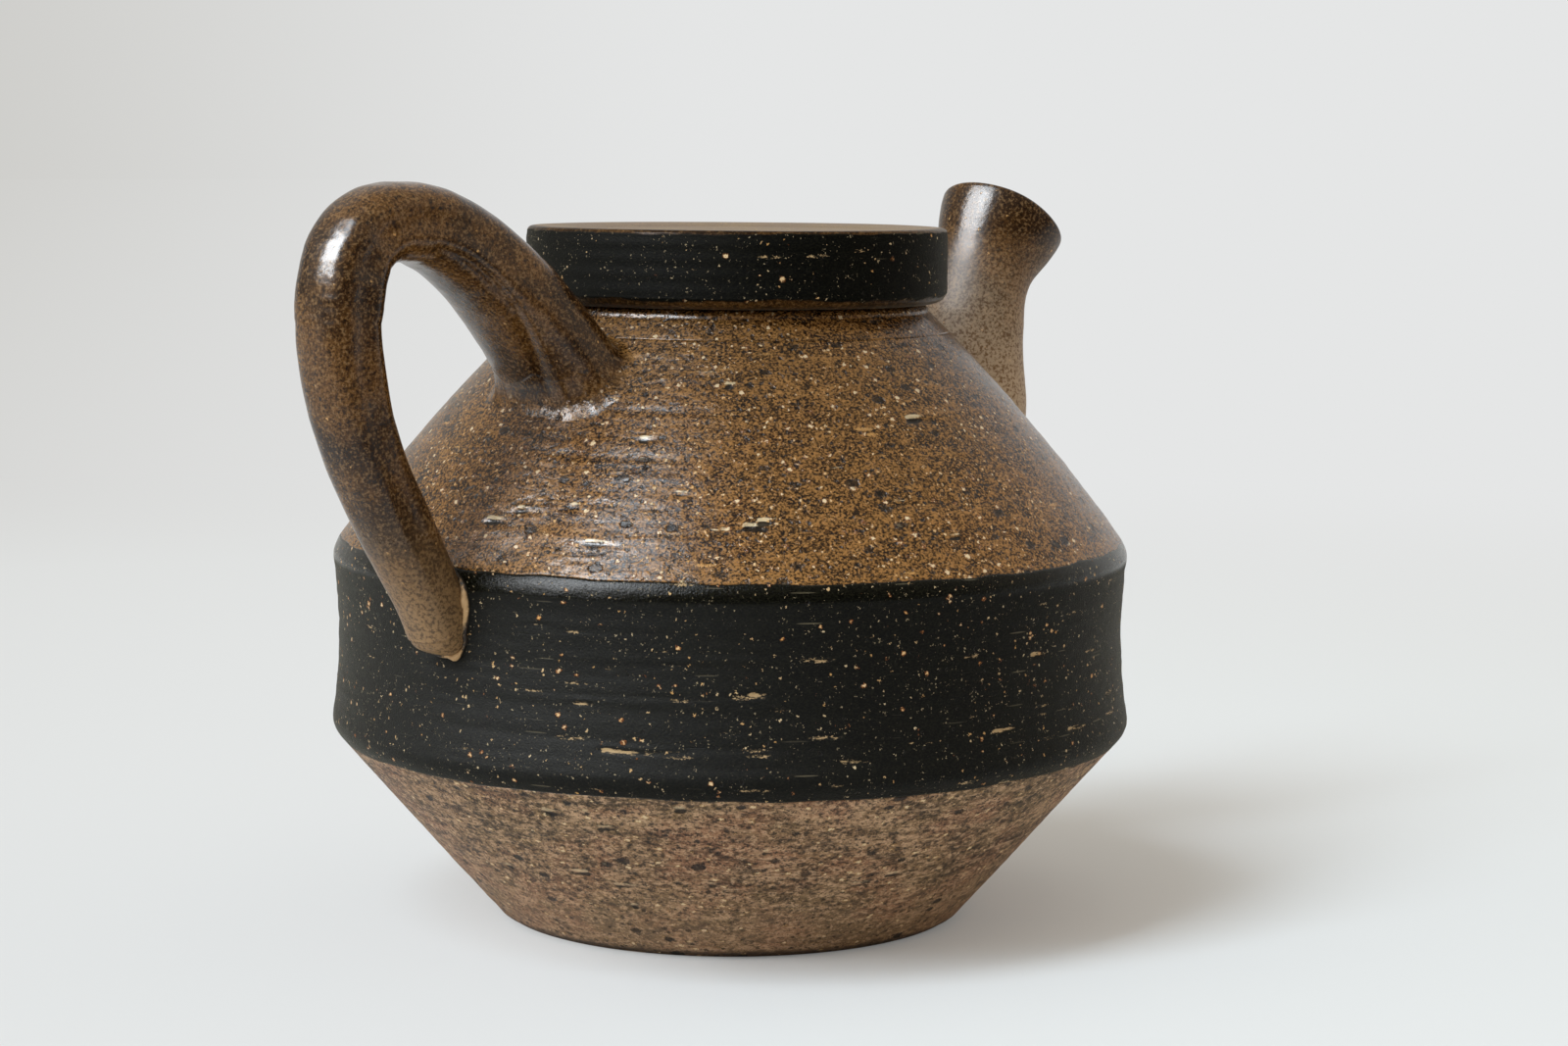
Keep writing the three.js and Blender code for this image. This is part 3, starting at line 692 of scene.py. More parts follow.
def shoulder_recipe(s):
    """Warm brown glaze broken by a salt and pepper of fine grains."""
    patches = s.cloud(0.045, 4, 0.6, round_pot=0.6, seed=21)
    drift = s.cloud(0.5, 3, 0.6, round_pot=0.15, seed=22)
    grain = s.cloud(1.1, 3, 0.75, round_pot=0.8, seed=23)
    fine = s.cloud(2.5, 2, 0.6, round_pot=0.8, seed=29)
    blotches = s.cloud(0.28, 3, 0.65, round_pot=0.6, seed=33, warp=0.6)
    pepper, pepper_core, _ = s.grains(1.0, 0.52, 0.4, round_pot=0.8, seed=24)
    salt, salt_core, salt_tint = s.grains(1.05, 0.5, 0.3, seed=25)
    grog, grog_core, _ = s.grains(0.62, 0.44, 0.26, round_pot=0.8, seed=26)
    spots, _, _ = s.grains(0.46, 0.46, 0.16, round_pot=0.55, seed=27)
    hair, _, hair_tint = s.grains(1.1, 0.32, 0.16, round_pot=0.12, seed=30)
    s.colour = SHOULDER_BROWN
    s.wash(SHOULDER_OLIVE, patches, 0.4, 0.6)
    s.wash(SHOULDER_DARK, patches, 0.5, 0.38, 0.3)
    s.wash(SHOULDER_TAN, blotches, 0.5, 0.64, 0.5)
    s.wash(SHOULDER_DARK, blotches, 0.49, 0.36, 0.65)
    s.wash(SHOULDER_TAN, drift, 0.52, 0.7, 0.45)
    s.wash(SHOULDER_DARK, drift, 0.48, 0.3, 0.6)
    s.wash(SHOULDER_TAN, grain, 0.5, 0.64, 0.7)
    s.wash(SHOULDER_DARK, grain, 0.54, 0.28, 0.9)
    s.wash(SHOULDER_TAN, fine, 0.51, 0.62, 0.75)
    s.wash(SHOULDER_DARK, fine, 0.48, 0.38, 0.9)
    s.paint(SHOULDER_DARK, pepper, 0.7)
    s.paint(IRON_SPOT_AND_GROOVE_SHADE, pepper_core, 0.6)
    s.paint(GROG, hair, hair_tint, s.step(drift, 0.4, 0.5), 0.8)
    s.paint(SHOULDER_TAN, salt, 0.7)
    s.paint(s.mix(salt_tint, GROG, PALE_GROG_AND_LIP_HIGHLIGHT), salt_core, 0.95)
    s.paint(RUSTY_GROG, grog, 0.6)
    s.paint(PALE_GROG_AND_LIP_HIGHLIGHT, grog_core, 0.9)
    s.paint(IRON_SPOT_AND_GROOVE_SHADE, spots, 0.85)
    # Painted highlight and painted shade: the raised lip beside each turning mark is painted pale as a
    # highlight, and its groove dark as the shade in it.
    s.paint(PALE_GROG_AND_LIP_HIGHLIGHT, s.broken("raised", 2.4, 32), 0.7)
    s.paint(IRON_SPOT_AND_GROOVE_SHADE, s.broken("scraped", 1.8, 31, 0.7), 0.95)
    near_slip = s.step(s.height, SLIP_HIGH_Z + 3.5, SLIP_HIGH_Z + 0.5, 0.0, 0.2)
    s.paint(SHOULDER_TAN, near_slip, s.step(fine, 0.4, 0.6))
    s.wash(SHOULDER_DARK, s.height, 84, 122, 0.3)
    roughness = s.add(0.13, s.times(grain, 0.14), s.times(patches, 0.08))
    height = s.total(
        (grain, 0.05), (s.cloud(0.4, 2, 0.5, seed=28), 0.08), (pepper, -0.05), (pepper_core, -0.07),
        (salt, 0.04), (salt_core, 0.05), (grog, 0.1), (spots, -0.25), (drift, 0.08), (fine, 0.03),
        (blotches, 0.15),
    )
    return s.colour, roughness, height


def bowl_recipe(s):
    """Greyer, drier glaze of the lower cone, streaked by the turning tool."""
    patches = s.cloud(0.06, 4, 0.6, round_pot=0.5, seed=41)
    rust = s.cloud(0.1, 3, 0.6, round_pot=0.6, seed=42)
    drift = s.cloud(0.75, 4, 0.65, round_pot=0.1, seed=43)
    grain = s.cloud(1.0, 4, 0.78, round_pot=0.65, seed=44)
    fine = s.cloud(2.4, 2, 0.6, round_pot=0.7, seed=49)
    blotches = s.cloud(0.22, 3, 0.65, round_pot=0.5, seed=52, warp=0.6)
    pepper, _, _ = s.grains(1.0, 0.52, 0.4, round_pot=0.8, seed=45)
    salt, salt_core, _ = s.grains(0.95, 0.46, 0.22, round_pot=0.5, seed=46)
    spots, _, _ = s.grains(0.42, 0.42, 0.16, round_pot=0.6, seed=47)
    hair, _, hair_tint = s.grains(1.1, 0.26, 0.35, round_pot=0.07, seed=48)
    s.colour = BOWL_BROWN
    s.wash(BOWL_OLIVE, patches, 0.42, 0.58)
    s.wash(BOWL_RED, rust, 0.44, 0.64, 0.6)
    s.wash(BOWL_DARK, blotches, 0.5, 0.36, 0.5)
    s.wash(BOWL_PALE, blotches, 0.52, 0.66, 0.4)
    s.wash(BOWL_PALE, drift, 0.5, 0.68, 0.5)
    s.wash(BOWL_DARK, drift, 0.48, 0.3, 0.6)
    s.wash(BOWL_PALE, grain, 0.5, 0.62, 0.75)
    s.wash(BOWL_DARK, grain, 0.48, 0.37, 0.85)
    s.wash(BOWL_DARK, fine, 0.47, 0.36, 0.75)
    # Painted light: paler towards the foot, standing in for the light that the floor throws up onto the lower
    # cone.
    s.wash(BOWL_PALE, s.height, 20, 3, 0.2)
    # Painted shade: the lowest millimetre or so of glaze, just above the foot's bevel, is darkened as a dark
    # line where the pot meets the floor.
    s.paint(BOWL_DARK, s.step(s.height, 1.0, 2.2, 0.7, 0.0))
    s.paint(BOWL_DARK, pepper, 0.7)
    s.paint(BOWL_PALE, hair, hair_tint, 0.7)
    s.paint(GROG, salt, 0.4)
    s.paint(PALE_GROG_AND_LIP_HIGHLIGHT, salt_core, 0.8)
    s.paint(IRON_SPOT_AND_GROOVE_SHADE, spots, 0.85)
    # Painted highlight and painted shade: raised lips beside the turning marks are painted pale as a
    # highlight, and the grooves dark as the shade in them.
    s.paint(PALE_GROG_AND_LIP_HIGHLIGHT, s.broken("raised", 2.4, 51), 0.4)
    s.paint(IRON_SPOT_AND_GROOVE_SHADE, s.broken("scraped", 1.8, 50, 0.7), 0.9)
    roughness = s.add(0.42, s.times(grain, 0.2), s.times(patches, 0.1))
    height = s.total((grain, 0.3), (drift, 0.3), (pepper, -0.16), (salt, 0.14), (spots, -0.35), (fine, 0.06),
                     (hair, 0.08))
    return s.colour, roughness, height


def strap_recipe(s, pale_from=92, pale_full=60, pale=STRAP_PALE, dark=STRAP_DRY, dull_from=92, dull_full=60):
    """Glossy tan glaze with a close dark mottling. It goes pale and dull downward, between given heights."""
    patches = s.cloud(0.06, 3, 0.55, seed=61)
    flecks = s.cloud(1.5, 3, 0.65, seed=62)
    fine = s.cloud(3.0, 2, 0.6, seed=67)
    dots, dot_cores, _ = s.grains(0.85, 0.56, 0.6, seed=63)
    small, _, _ = s.grains(1.5, 0.5, 0.6, seed=64)
    salt, _, _ = s.grains(0.55, 0.22, 0.2, seed=65)
    s.colour = STRAP_TAN
    s.wash(STRAP_BROWN, patches, 0.4, 0.62)
    s.wash(STRAP_PALE, flecks, 0.5, 0.62, 0.4)
    s.wash(STRAP_DARK, flecks, 0.52, 0.34, 0.7)
    s.wash(STRAP_DARK, fine, 0.48, 0.36, 0.7)
    s.paint(STRAP_BROWN, dots, 0.4)
    s.paint(STRAP_DARK, dot_cores, 0.7)
    s.paint(STRAP_DARK, small, 0.6)
    s.paint(GROG, salt, 0.7)
    low = s.step(s.height, pale_from, pale_full, 0.0, 0.8)
    s.paint(s.mix(s.step(flecks, 0.38, 0.54), dark, pale), low)
    dull = s.step(s.height, dull_from, dull_full, 0.0, 0.32)
    height = s.total((flecks, 0.035), (s.cloud(0.25, 2, 0.5, seed=66), 0.12), (salt, 0.05))
    height = s.add(height, s.times(fine, low, 0.1))
    return s.colour, s.add(0.17, s.times(flecks, 0.08), dull), height


def blended(s, share, first, second):
    """One recipe going over into another."""
    return (s.mix(share, first[0], second[0]), s.between(share, first[1], second[1]),
            s.between(share, first[2], second[2]))


def spout_recipe(s):
    return strap_recipe(s, 138, 100, SPOUT_PALE, SPOUT_DARK, 139, 127)


def coated(name, recipe, specular, sheen=0.0):
    """A material that is one recipe all over."""
    s = Surface(name)
    return s.close(*recipe(s), specular, sheen)


def joint_material(name, limb_recipe):
    """Clay worked from a strap or spout into the shoulder: it goes from one glaze to the other."""
    s = Surface(name)
    wander = s.times(s.math("SUBTRACT", s.cloud(0.35, 3, 0.6, seed=71), 0.5), 0.9)
    share = s.step(s.add(s.fact("to_wall"), wander), 0.25, 0.8)
    return s.close(*blended(s, share, limb_recipe(s), shoulder_recipe(s)), specular=0.3)


def foot_clay_material():
    """Ridge of clay at the handle's foot, pale along its top."""
    s = Surface("foot_clay")
    wander = s.cloud(1.2, 3, 0.65, seed=73)
    pale_top = s.step(s.add(s.fact("raised"), s.times(wander, 0.8)), 0.75, 1.15)
    _, grog_core, _ = s.grains(1.2, 0.3, 0.3, seed=74)
    s.colour = RIDGE_DARK
    s.paint(RIDGE_PALE_TOP, pale_top)
    s.paint(PALE_GROG_AND_LIP_HIGHLIGHT, grog_core, pale_top, 0.8)
    return s.close(s.colour, s.add(0.45, s.times(wander, 0.2)), s.times(wander, 0.3), specular=0.35)


def inside_material():
    s = Surface("inside_glaze")
    _, roughness, height = shoulder_recipe(s)
    s.paint(INSIDE_BROWN, 0.45)
    return s.close(s.colour, s.times(roughness, 0.8), height)


def foot_material():
    """Bare clay under the foot."""
    s = Surface("bare_foot")
    grain = s.cloud(1.4, 4, 0.7, seed=81)
    salt, _, _ = s.grains(0.9, 0.28, 0.4, seed=82)
    s.colour = FOOT_CLAY_DARK
    s.wash(FOOT_CLAY_PALE, grain, 0.35, 0.7)
    s.paint(PALE_GROG_AND_LIP_HIGHLIGHT, salt, 0.7)
    return s.close(s.colour, 0.8, s.times(grain, 0.2), specular=0.3)


def lid_material():
    """Slip on the lid's side, worn through to brown glaze at both edges."""
    s = Surface("lid_slip")
    waver = s.times(s.math("SUBTRACT", s.cloud(0.22, 4, 0.65, round_pot=0.6, seed=91), 0.5), 2.2)
    low_edge = s.step(s.add(s.height, waver), LIP_Z + 1.5, LIP_Z + 2.0, 1.0, 0.0)
    high_edge = s.step(s.add(s.height, s.times(waver, 0.6)), LID_TOP_Z - 0.8, LID_TOP_Z - 0.5)
    edge = s.math("MAXIMUM", low_edge, high_edge)
    colour, roughness, height = slip_recipe(s, warmth=0.4, grog_share=0.4)
    glaze, glaze_roughness, glaze_height = strap_recipe(s)
    glaze = s.mix(0.45, glaze, SHOULDER_DARK)
    return s.close(
        s.mix(edge, colour, glaze), s.between(edge, roughness, s.add(glaze_roughness, 0.1)),
        s.add(s.between(edge, height, glaze_height), s.times(edge, -0.12)), specular=0.04, sheen=0.1,
    )


def lid_top_material():
    """The lid's top: thin pale glaze over turning rings."""
    s = Surface("lid_top_glaze")
    grain = s.cloud(1.3, 4, 0.7, seed=101)
    patches = s.cloud(0.08, 3, 0.6, seed=102)
    pepper, _, _ = s.grains(1.4, 0.3, 0.4, seed=103)
    salt, _, _ = s.grains(0.8, 0.24, 0.3, seed=104)
    s.colour = LID_TOP_CLAY
    s.wash(LID_TOP_OLIVE, patches, 0.35, 0.65)
    s.wash(SHOULDER_BROWN, grain, 0.5, 0.3, 0.8)
    s.paint(SHOULDER_DARK, pepper, 0.6)
    s.paint(GROG, salt, 0.7)
    return s.close(s.colour, s.add(0.4, s.times(grain, 0.2)), s.times(grain, 0.12), specular=0.4)


SLIP = coated("black_slip", slip_recipe, specular=0.11, sheen=0.14)
SHOULDER_GLAZE = coated("shoulder_glaze", shoulder_recipe, specular=0.26)
BOWL_GLAZE = coated("bowl_glaze", bowl_recipe, specular=0.28)
STRAP_GLAZE = coated("strap_glaze", strap_recipe, specular=0.36)
SPOUT_GLAZE = coated("spout_glaze", spout_recipe, specular=0.26)
ROOT_GLAZE = joint_material("root_glaze", strap_recipe)
SPOUT_JOINT_GLAZE = joint_material("spout_joint_glaze", spout_recipe)
FOOT_CLAY = foot_clay_material()
INSIDE_GLAZE = inside_material()
BARE_FOOT = foot_material()
LID_SLIP = lid_material()
LID_TOP_GLAZE = lid_top_material()


# Pieces of the pot's wall

COLUMN_TURNS = np.arange(COLUMNS) / COLUMNS


def rows_between(low, high, count):
    """Heights from low to high, which may differ from column to column: one row each."""
    share = np.linspace(0, 1, count + 1)[:, None]
    return low + (high - low) * share + np.zeros(COLUMNS)


def wall_rows(low, high):
    """The outer wall between two edges."""
    slope = np.hypot(np.ptp([np.mean(low), np.mean(high)]),
                     outer_radius(np.mean(low)) - outer_radius(np.mean(high)))
    z = rows_between(low, high, int(slope / ROW_STEP))
    turns = COLUMN_TURNS + np.zeros(z.shape)
    return wall_points(turns, z)


def inner_rows(high, low, count=INNER_ROWS):
    z = rows_between(high, low, count)
    return np.stack([ring(inner_radius(row), row) for row in z])


def thrown_bowl():
    edge = slip_low(COLUMN_TURNS)
    outer = wall_rows(FOOT_BEVEL, edge)
    inside = inner_rows(edge, FLOOR + 4)
    corner = float(inner_radius(np.array(float(FLOOR))))
    floor = [ring(corner - 1.2, FLOOR + 1.6), ring(corner - 3, FLOOR + 0.4), ring(corner - 6, FLOOR)]
    for radius in np.linspace(corner - 8, 1, 16):
        floor.append(ring(radius, FLOOR + 0.25 * math.sin(radius / 2.2)))
    under = [ring(radius, 0.12 * bump_at(radius, 0, 30)) for radius in np.linspace(1, FOOT_R - 3, 14)]
    bevel = [ring(FOOT_R - FOOT_BEVEL, 0), ring(FOOT_R - 0.5, 0.25), ring(FOOT_R - 0.05, 0.65)]
    rows, facts = stacked(under, bevel, outer, inside, floor)
    inside_from = len(rows) - len(inside) - len(floor)
    materials = [BOWL_GLAZE, BARE_FOOT, INSIDE_GLAZE]
    return piece("thrown_bowl", "pot", "lower_bowl", "bowl_glaze", materials, rows, facts=facts,
                 material_rows=[(0, len(under)), (inside_from, len(rows))])


def slip_band():
    outer = wall_rows(slip_low(COLUMN_TURNS), slip_high(COLUMN_TURNS))
    inside = inner_rows(slip_high(COLUMN_TURNS), slip_low(COLUMN_TURNS))
    rows, facts = stacked(outer, inside)
    inside_from = len(rows) - len(inside) - 1
    return piece("slip_band", "pot", "waist_band", "black_slip", [SLIP, INSIDE_GLAZE], rows, is_tube=True,
                 facts=facts, material_rows=[(inside_from, len(rows))])


def height_on_shoulder(radius):
    heights = np.linspace(UPPER_CORNER_Z, LIP_EDGE_Z, 4000)
    return float(np.interp(-radius, -shoulder_wall(heights), heights))


def strainer_drill():
    """One hole in the middle and a ring of holes round it, square to the shoulder, as one mesh of rods."""
    lean = math.atan2(SHOULDER_H, UPPER_CORNER_R - LIP_EDGE_R)
    x = UPPER_CORNER_R - SPOUT_INSET - STRAINER_RAISE * math.cos(lean)
    place = Matrix.Translation(Vector((x, 0, height_on_shoulder(x))) * MM) @ Matrix.Rotation(lean, 4, "Y")
    offsets = [(0, 0)]
    for i in range(STRAINER_RING_HOLES):
        angle = i / STRAINER_RING_HOLES * TURN
        offsets.append((STRAINER_RING_R * math.cos(angle), STRAINER_RING_R * math.sin(angle)))
    work = bmesh.new()
    for up, aside in offsets:
        turned = place @ Matrix.Translation(Vector((up, aside, 0)) * MM)
        bmesh.ops.create_cone(work, cap_ends=True, segments=32, radius1=STRAINER_HOLE_R * MM,
                              radius2=STRAINER_HOLE_R * MM, depth=4 * WALL * MM, matrix=turned)
    mesh = bpy.data.meshes.new("strainer_drill")
    work.to_mesh(mesh)
    work.free()
    return mesh


def cut_by(made, drill_mesh):
    """Cuts a piece by a mesh, and keeps the result as its mesh."""
    drill = in_scene("drill", drill_mesh)
    cut = made.modifiers.new("cut", "BOOLEAN")
    cut.operation = "DIFFERENCE"
    cut.solver = "EXACT"
    cut.object = drill
    graph = bpy.context.evaluated_depsgraph_get()
    evaluated = made.evaluated_get(graph)
    result = bpy.data.meshes.new_from_object(evaluated, preserve_all_data_layers=True, depsgraph=graph)
    made.modifiers.clear()
    made.data = result
    bpy.data.objects.remove(drill)


def glazed_shoulder():
    inside = inner_rows(NECK_Z, slip_high(COLUMN_TURNS))
    rows, facts = stacked(wall_rows(slip_high(COLUMN_TURNS), NECK_Z), inside)
    inside_from = len(rows) - len(inside)
    made = piece("glazed_shoulder", "pot", "shoulder", "shoulder_glaze", [SHOULDER_GLAZE, INSIDE_GLAZE], rows,
                 is_tube=True, facts=facts, material_rows=[(inside_from, len(rows))])
    cut_by(made, strainer_drill())
    return made


def arc(start, corner, end, count):
    """Points of a curve that takes the place of a corner, as radius and height."""
    t = np.linspace(0, 1, count + 1)[:, None]
    start, corner, end = np.array(start, float), np.array(corner, float), np.array(end, float)
    return (1 - t) ** 2 * start + 2 * t * (1 - t) * corner + t * t * end


def mouth_ring():
    edge_r = float(outer_radius(np.array(LIP_EDGE_Z)))
    wall_r = float(inner_radius(np.array(NECK_Z)))
    outline = np.concatenate([
        arc((edge_r, LIP_EDGE_Z), (edge_r - 0.4, LIP_Z), (edge_r - LIP_TURN, LIP_Z), 10)[1:],
        [(radius, LIP_Z) for radius in np.linspace(edge_r - LIP_TURN, MOUTH_R + 1.2, 8)[1:]],
        arc((MOUTH_R + 1, LIP_Z), (MOUTH_R, LIP_Z), (MOUTH_R, LIP_Z - 1), 6),
        [(MOUTH_R, LIP_Z - 2), (MOUTH_R, NECK_Z + NECK_BEVEL), (wall_r, NECK_Z)],
    ])
    rows, facts = stacked(wall_rows(NECK_Z, LIP_EDGE_Z), [ring(radius, z) for radius, z in outline])
    return piece("mouth_ring", "pot", "neck_ring", "shoulder_glaze", [SHOULDER_GLAZE], rows, is_tube=True,
                 facts=facts)


# The lid

def lid_ring(outline, wobble, seed):
    """Rings for an outline of radius and height, which stray from round by up to wobble."""
    stray = 1 + wobble * noise(COLUMN_TURNS, 0, 7, seed) / LID_R
    return np.stack([ring(radius * stray, z + 0.25 * wobble * noise(COLUMN_TURNS, z, 9, seed + 1), LID_SHIFT)
                     for radius, z in outline])


def lid_top():
    dish = LID_TOP_Z - LID_DISH
    rim = LID_R - LID_RIM_W
    hollow = arc((HOLLOW_R - 2, LID_HOLLOW_Z), (HOLLOW_R, LID_HOLLOW_Z), (HOLLOW_R, LID_HOLLOW_Z - 2), 6)
    side = [(LID_R + 0.04 * math.sin(z * 2.1) - 0.12 * smooth_step(z, LID_TOP_Z - 3, LID_TOP_Z - 1), z)
            for z in np.linspace(LIP_Z + 2.3, LID_TOP_Z - 1.1, 26)]
    slope = arc((LID_R - 1.6, LID_TOP_Z), (rim - 0.6, LID_TOP_Z), (rim - LID_DISH_SLOPE, dish), 14)
    plate = [(radius, dish - 0.05 * math.cos(radius * 1.7))
             for radius in np.linspace(rim - LID_DISH_SLOPE, 1, 60)[1:]]
    outline = np.concatenate([
        hollow,
        [(HOLLOW_R, LIP_Z), (LID_R - 3.4, LIP_Z)],
        arc((LID_R - 2.8, LIP_Z + 0.02), (LID_R - 0.9, LIP_Z + 0.5), (LID_R - 0.55, LIP_Z + 1.3), 7),
        arc((LID_R - 0.5, LIP_Z + 1.4), (LID_R - 0.35, LIP_Z + 1.7), (LID_R - 0.02, LIP_Z + 2.1), 4),
        side,
        arc((LID_R - 0.15, LID_TOP_Z - 0.95), (LID_R - 0.3, LID_TOP_Z - 0.1), (LID_R - 1.3, LID_TOP_Z), 7),
        slope,
        plate,
    ])
    rows, facts = stacked(lid_ring(outline, 0.22, 51))
    top_from = len(rows) - len(plate) - len(slope)
    materials = [LID_SLIP, LID_TOP_GLAZE, INSIDE_GLAZE]
    return piece("lid_top", "lid", "lid_disc", "black_slip", materials, rows, facts=facts,
                 material_rows=[(top_from, len(rows)), (0, len(hollow) + 1)], cap_materials=(2, 1))


def lid_flange_ring():
    low_r = FLANGE_R - FLANGE_TAPER
    low = FLANGE_LOW_Z
    turn_z = low + FLANGE_EDGE
    outline = np.concatenate([
        [(FLANGE_R, LIP_Z), (HOLLOW_R, LIP_Z), (HOLLOW_R, low + 1.6)],
        arc((HOLLOW_R, turn_z), (HOLLOW_R, low), (HOLLOW_R + FLANGE_EDGE, low), 6),
        arc((low_r - FLANGE_EDGE, low), (low_r, low), (low_r, turn_z), 6),
        [(low_r + FLANGE_TAPER * t, turn_z + (LIP_Z - low - 1.6) * t) for t in (0.3, 0.6, 0.95)],
    ])
    rows, facts = stacked(lid_ring(outline, 0.1, 53))
    return piece("lid_flange_ring", "lid", "lid_flange", "black_slip", [INSIDE_GLAZE], rows, is_tube=True,
                 facts=facts)


# Handle and spout

def bezier(start, start_angle, start_pull, end, end_angle, end_pull):
    """Four control points of a curve that leaves and arrives at angles above level. Pulls are shares of its
    span."""
    start, end = np.array(start, float), np.array(end, float)
    span = np.linalg.norm(end - start)
    leaving = np.array([math.cos(math.radians(start_angle)), math.sin(math.radians(start_angle))])
    arriving = np.array([math.cos(math.radians(end_angle)), math.sin(math.radians(end_angle))])
    return np.array([start, start + leaving * start_pull * span, end - arriving * end_pull * span, end])


def through(values, place):
    """A smooth value through a list of numbers, at a place from 0 to 1."""
    values = np.array(values, float)
    t = np.clip(place, 0, 1) * (len(values) - 1)
    i = np.minimum(np.floor(t).astype(int), len(values) - 2)
    w = t - i
    p0, p1 = values[np.maximum(i - 1, 0)], values[i]
    p2, p3 = values[i + 1], values[np.minimum(i + 2, len(values) - 1)]
    v0, v1 = (p2 - p0) / 2, (p3 - p1) / 2
    return (2 * p1 - 2 * p2 + v0 + v1) * w ** 3 + (-3 * p1 + 3 * p2 - 2 * v0 - v1) * w ** 2 + v0 * w + p1


class Limb:
    """A strap or a tube in the plane y = 0: its section changes along a centre line of Bezier stretches.
    A place counts stretches. An angle runs round the section: 0 faces the line's left, a quarter turn +Y."""

    def __init__(self, stretches, across, aside, squareness, shape=None):
        self.stretches = np.array(stretches)
        self.across = across
        self.aside = aside
        self.squareness = squareness
        self.shape = shape

    def line(self, place):
        i = np.clip(np.floor(place).astype(int), 0, len(self.stretches) - 1)
        t = (place - i)[..., None]
        p0, p1, p2, p3 = (self.stretches[i, k] for k in range(4))
        point = (1 - t) ** 3 * p0 + 3 * t * (1 - t) ** 2 * p1 + 3 * t * t * (1 - t) * p2 + t ** 3 * p3
        along = 3 * (1 - t) ** 2 * (p1 - p0) + 6 * t * (1 - t) * (p2 - p1) + 3 * t * t * (p3 - p2)
        return point, along / np.linalg.norm(along, axis=-1, keepdims=True)

    def points(self, place, angle, grow=0):
        place, angle = np.broadcast_arrays(np.asarray(place, float), np.asarray(angle, float))
        count = len(self.stretches)
        point, along = self.line(np.maximum(place, 0))
        across = through(self.across, place / count) / 2 + grow
        aside = through(self.aside, place / count) / 2 + grow
        power = 2 / self.squareness
        c, s = np.cos(angle), np.sin(angle)
        out = across * np.sign(c) * np.abs(c) ** power
        side = aside * np.sign(s) * np.abs(s) ** power
        if self.shape is not None:
            share = 1 + self.shape(place, angle) / np.maximum(np.hypot(out, side), 1)
            out, side = out * share, side * share
        x = point[..., 0] - along[..., 1] * out
        z = point[..., 1] + along[..., 0] * out
        return np.stack([x, side, z], axis=-1)


def outside_wall(points):
    """How far points lie outside the pot's wall, measured level."""
    return np.hypot(points[..., 0], points[..., 1]) - outer_radius(points[..., 2])


def place_at_wall(limb, angle, inside, outside):
    """The place at which each line along a limb goes through the pot's wall."""
    low = np.full(angle.shape, float(inside))
    high = np.full(angle.shape, float(outside))
    for _ in range(HALVINGS):
        middle = (low + high) / 2
        is_in = outside_wall(limb.points(middle, angle)) < 0
        low, high = np.where(is_in, middle, low), np.where(is_in, high, middle)
    return (low + high) / 2


def strap_shape(place, angle):
    """How the strap strays from its plain section. Each side face dips lengthwise, a crease on the -Y side
    wanders onto the underside before the root, and pulling leaves the whole a little uneven."""
    degrees = np.degrees(np.mod(angle, TURN))
    held = smooth_step(place, 1.0, 1.6) * (1 - smooth_step(place, 3.85, 4))
    deep = 0.75 - 0.35 * smooth_step(place, 2.9, 3.5)
    valley = deep * bump_at(degrees, 272, 19) + 0.5 * bump_at(degrees, 90, 19)
    crease_at = np.interp(place, CREASE_PLACES, CREASE_ANGLES)
    creased = smooth_step(place, 3.0, 3.35) * (1 - smooth_step(place, 3.93, 4))
    crease = 1.0 * bump_at(degrees, crease_at, 7.5) - 0.2 * bump_at(degrees, crease_at + 17, 9)
    uneven = 0.16 * noise(angle / TURN, place * 7, 5, 61) + 0.06 * noise(angle / TURN, place * 22, 9, 62)
    return uneven - held * valley - creased * crease


# The crease on the strap: section angles in degrees, at places along the line
CREASE_PLACES = (2.6, 3.26, 3.38, 3.52, 3.65, 3.83, 3.94)
CREASE_ANGLES = (245, 238, 232, 222, 208, 192, 186)

handle_limb = Limb(
    [bezier(HANDLE_TIP, HANDLE_ANGLES[0], 1 / 3, HANDLE_FOOT, HANDLE_ANGLES[1], 1 / 3),
     bezier(HANDLE_FOOT, HANDLE_ANGLES[1], 0.256, HANDLE_BEND, HANDLE_ANGLES[2], 0.39),
     bezier(HANDLE_BEND, HANDLE_ANGLES[2], 0.29, HANDLE_CREST, HANDLE_ANGLES[3], 0.572),
     bezier(HANDLE_CREST, HANDLE_ANGLES[3], 0.298, HANDLE_ROOT, HANDLE_ANGLES[4], 0.26)],
    HANDLE_THICKNESSES, HANDLE_WIDTHS, STRAP_SQUARENESS, strap_shape,
)


def spout_shape(place, angle):
    return 0.1 * noise(angle / TURN, place * 4, 4, 65) + 0.01 * np.sin(place * 46)


spout_limb = Limb(
    [bezier(SPOUT_BASE, SPOUT_ANGLES[0], 0.58, SPOUT_WAIST, SPOUT_ANGLES[1], 0.532),
     bezier(SPOUT_WAIST, SPOUT_ANGLES[1], 0.326, SPOUT_RIM, SPOUT_ANGLES[2], 0.442)],
    [2 * r for r in SPOUT_RADII], [2 * r for r in SPOUT_RADII], 2, spout_shape,
)

TIP_PLACE = 0.85            # the strap's skin is rounded off from here down
TIP_CAP = 0.85
TIP_LENGTH = 4.0
TIP_SINK = 3.4


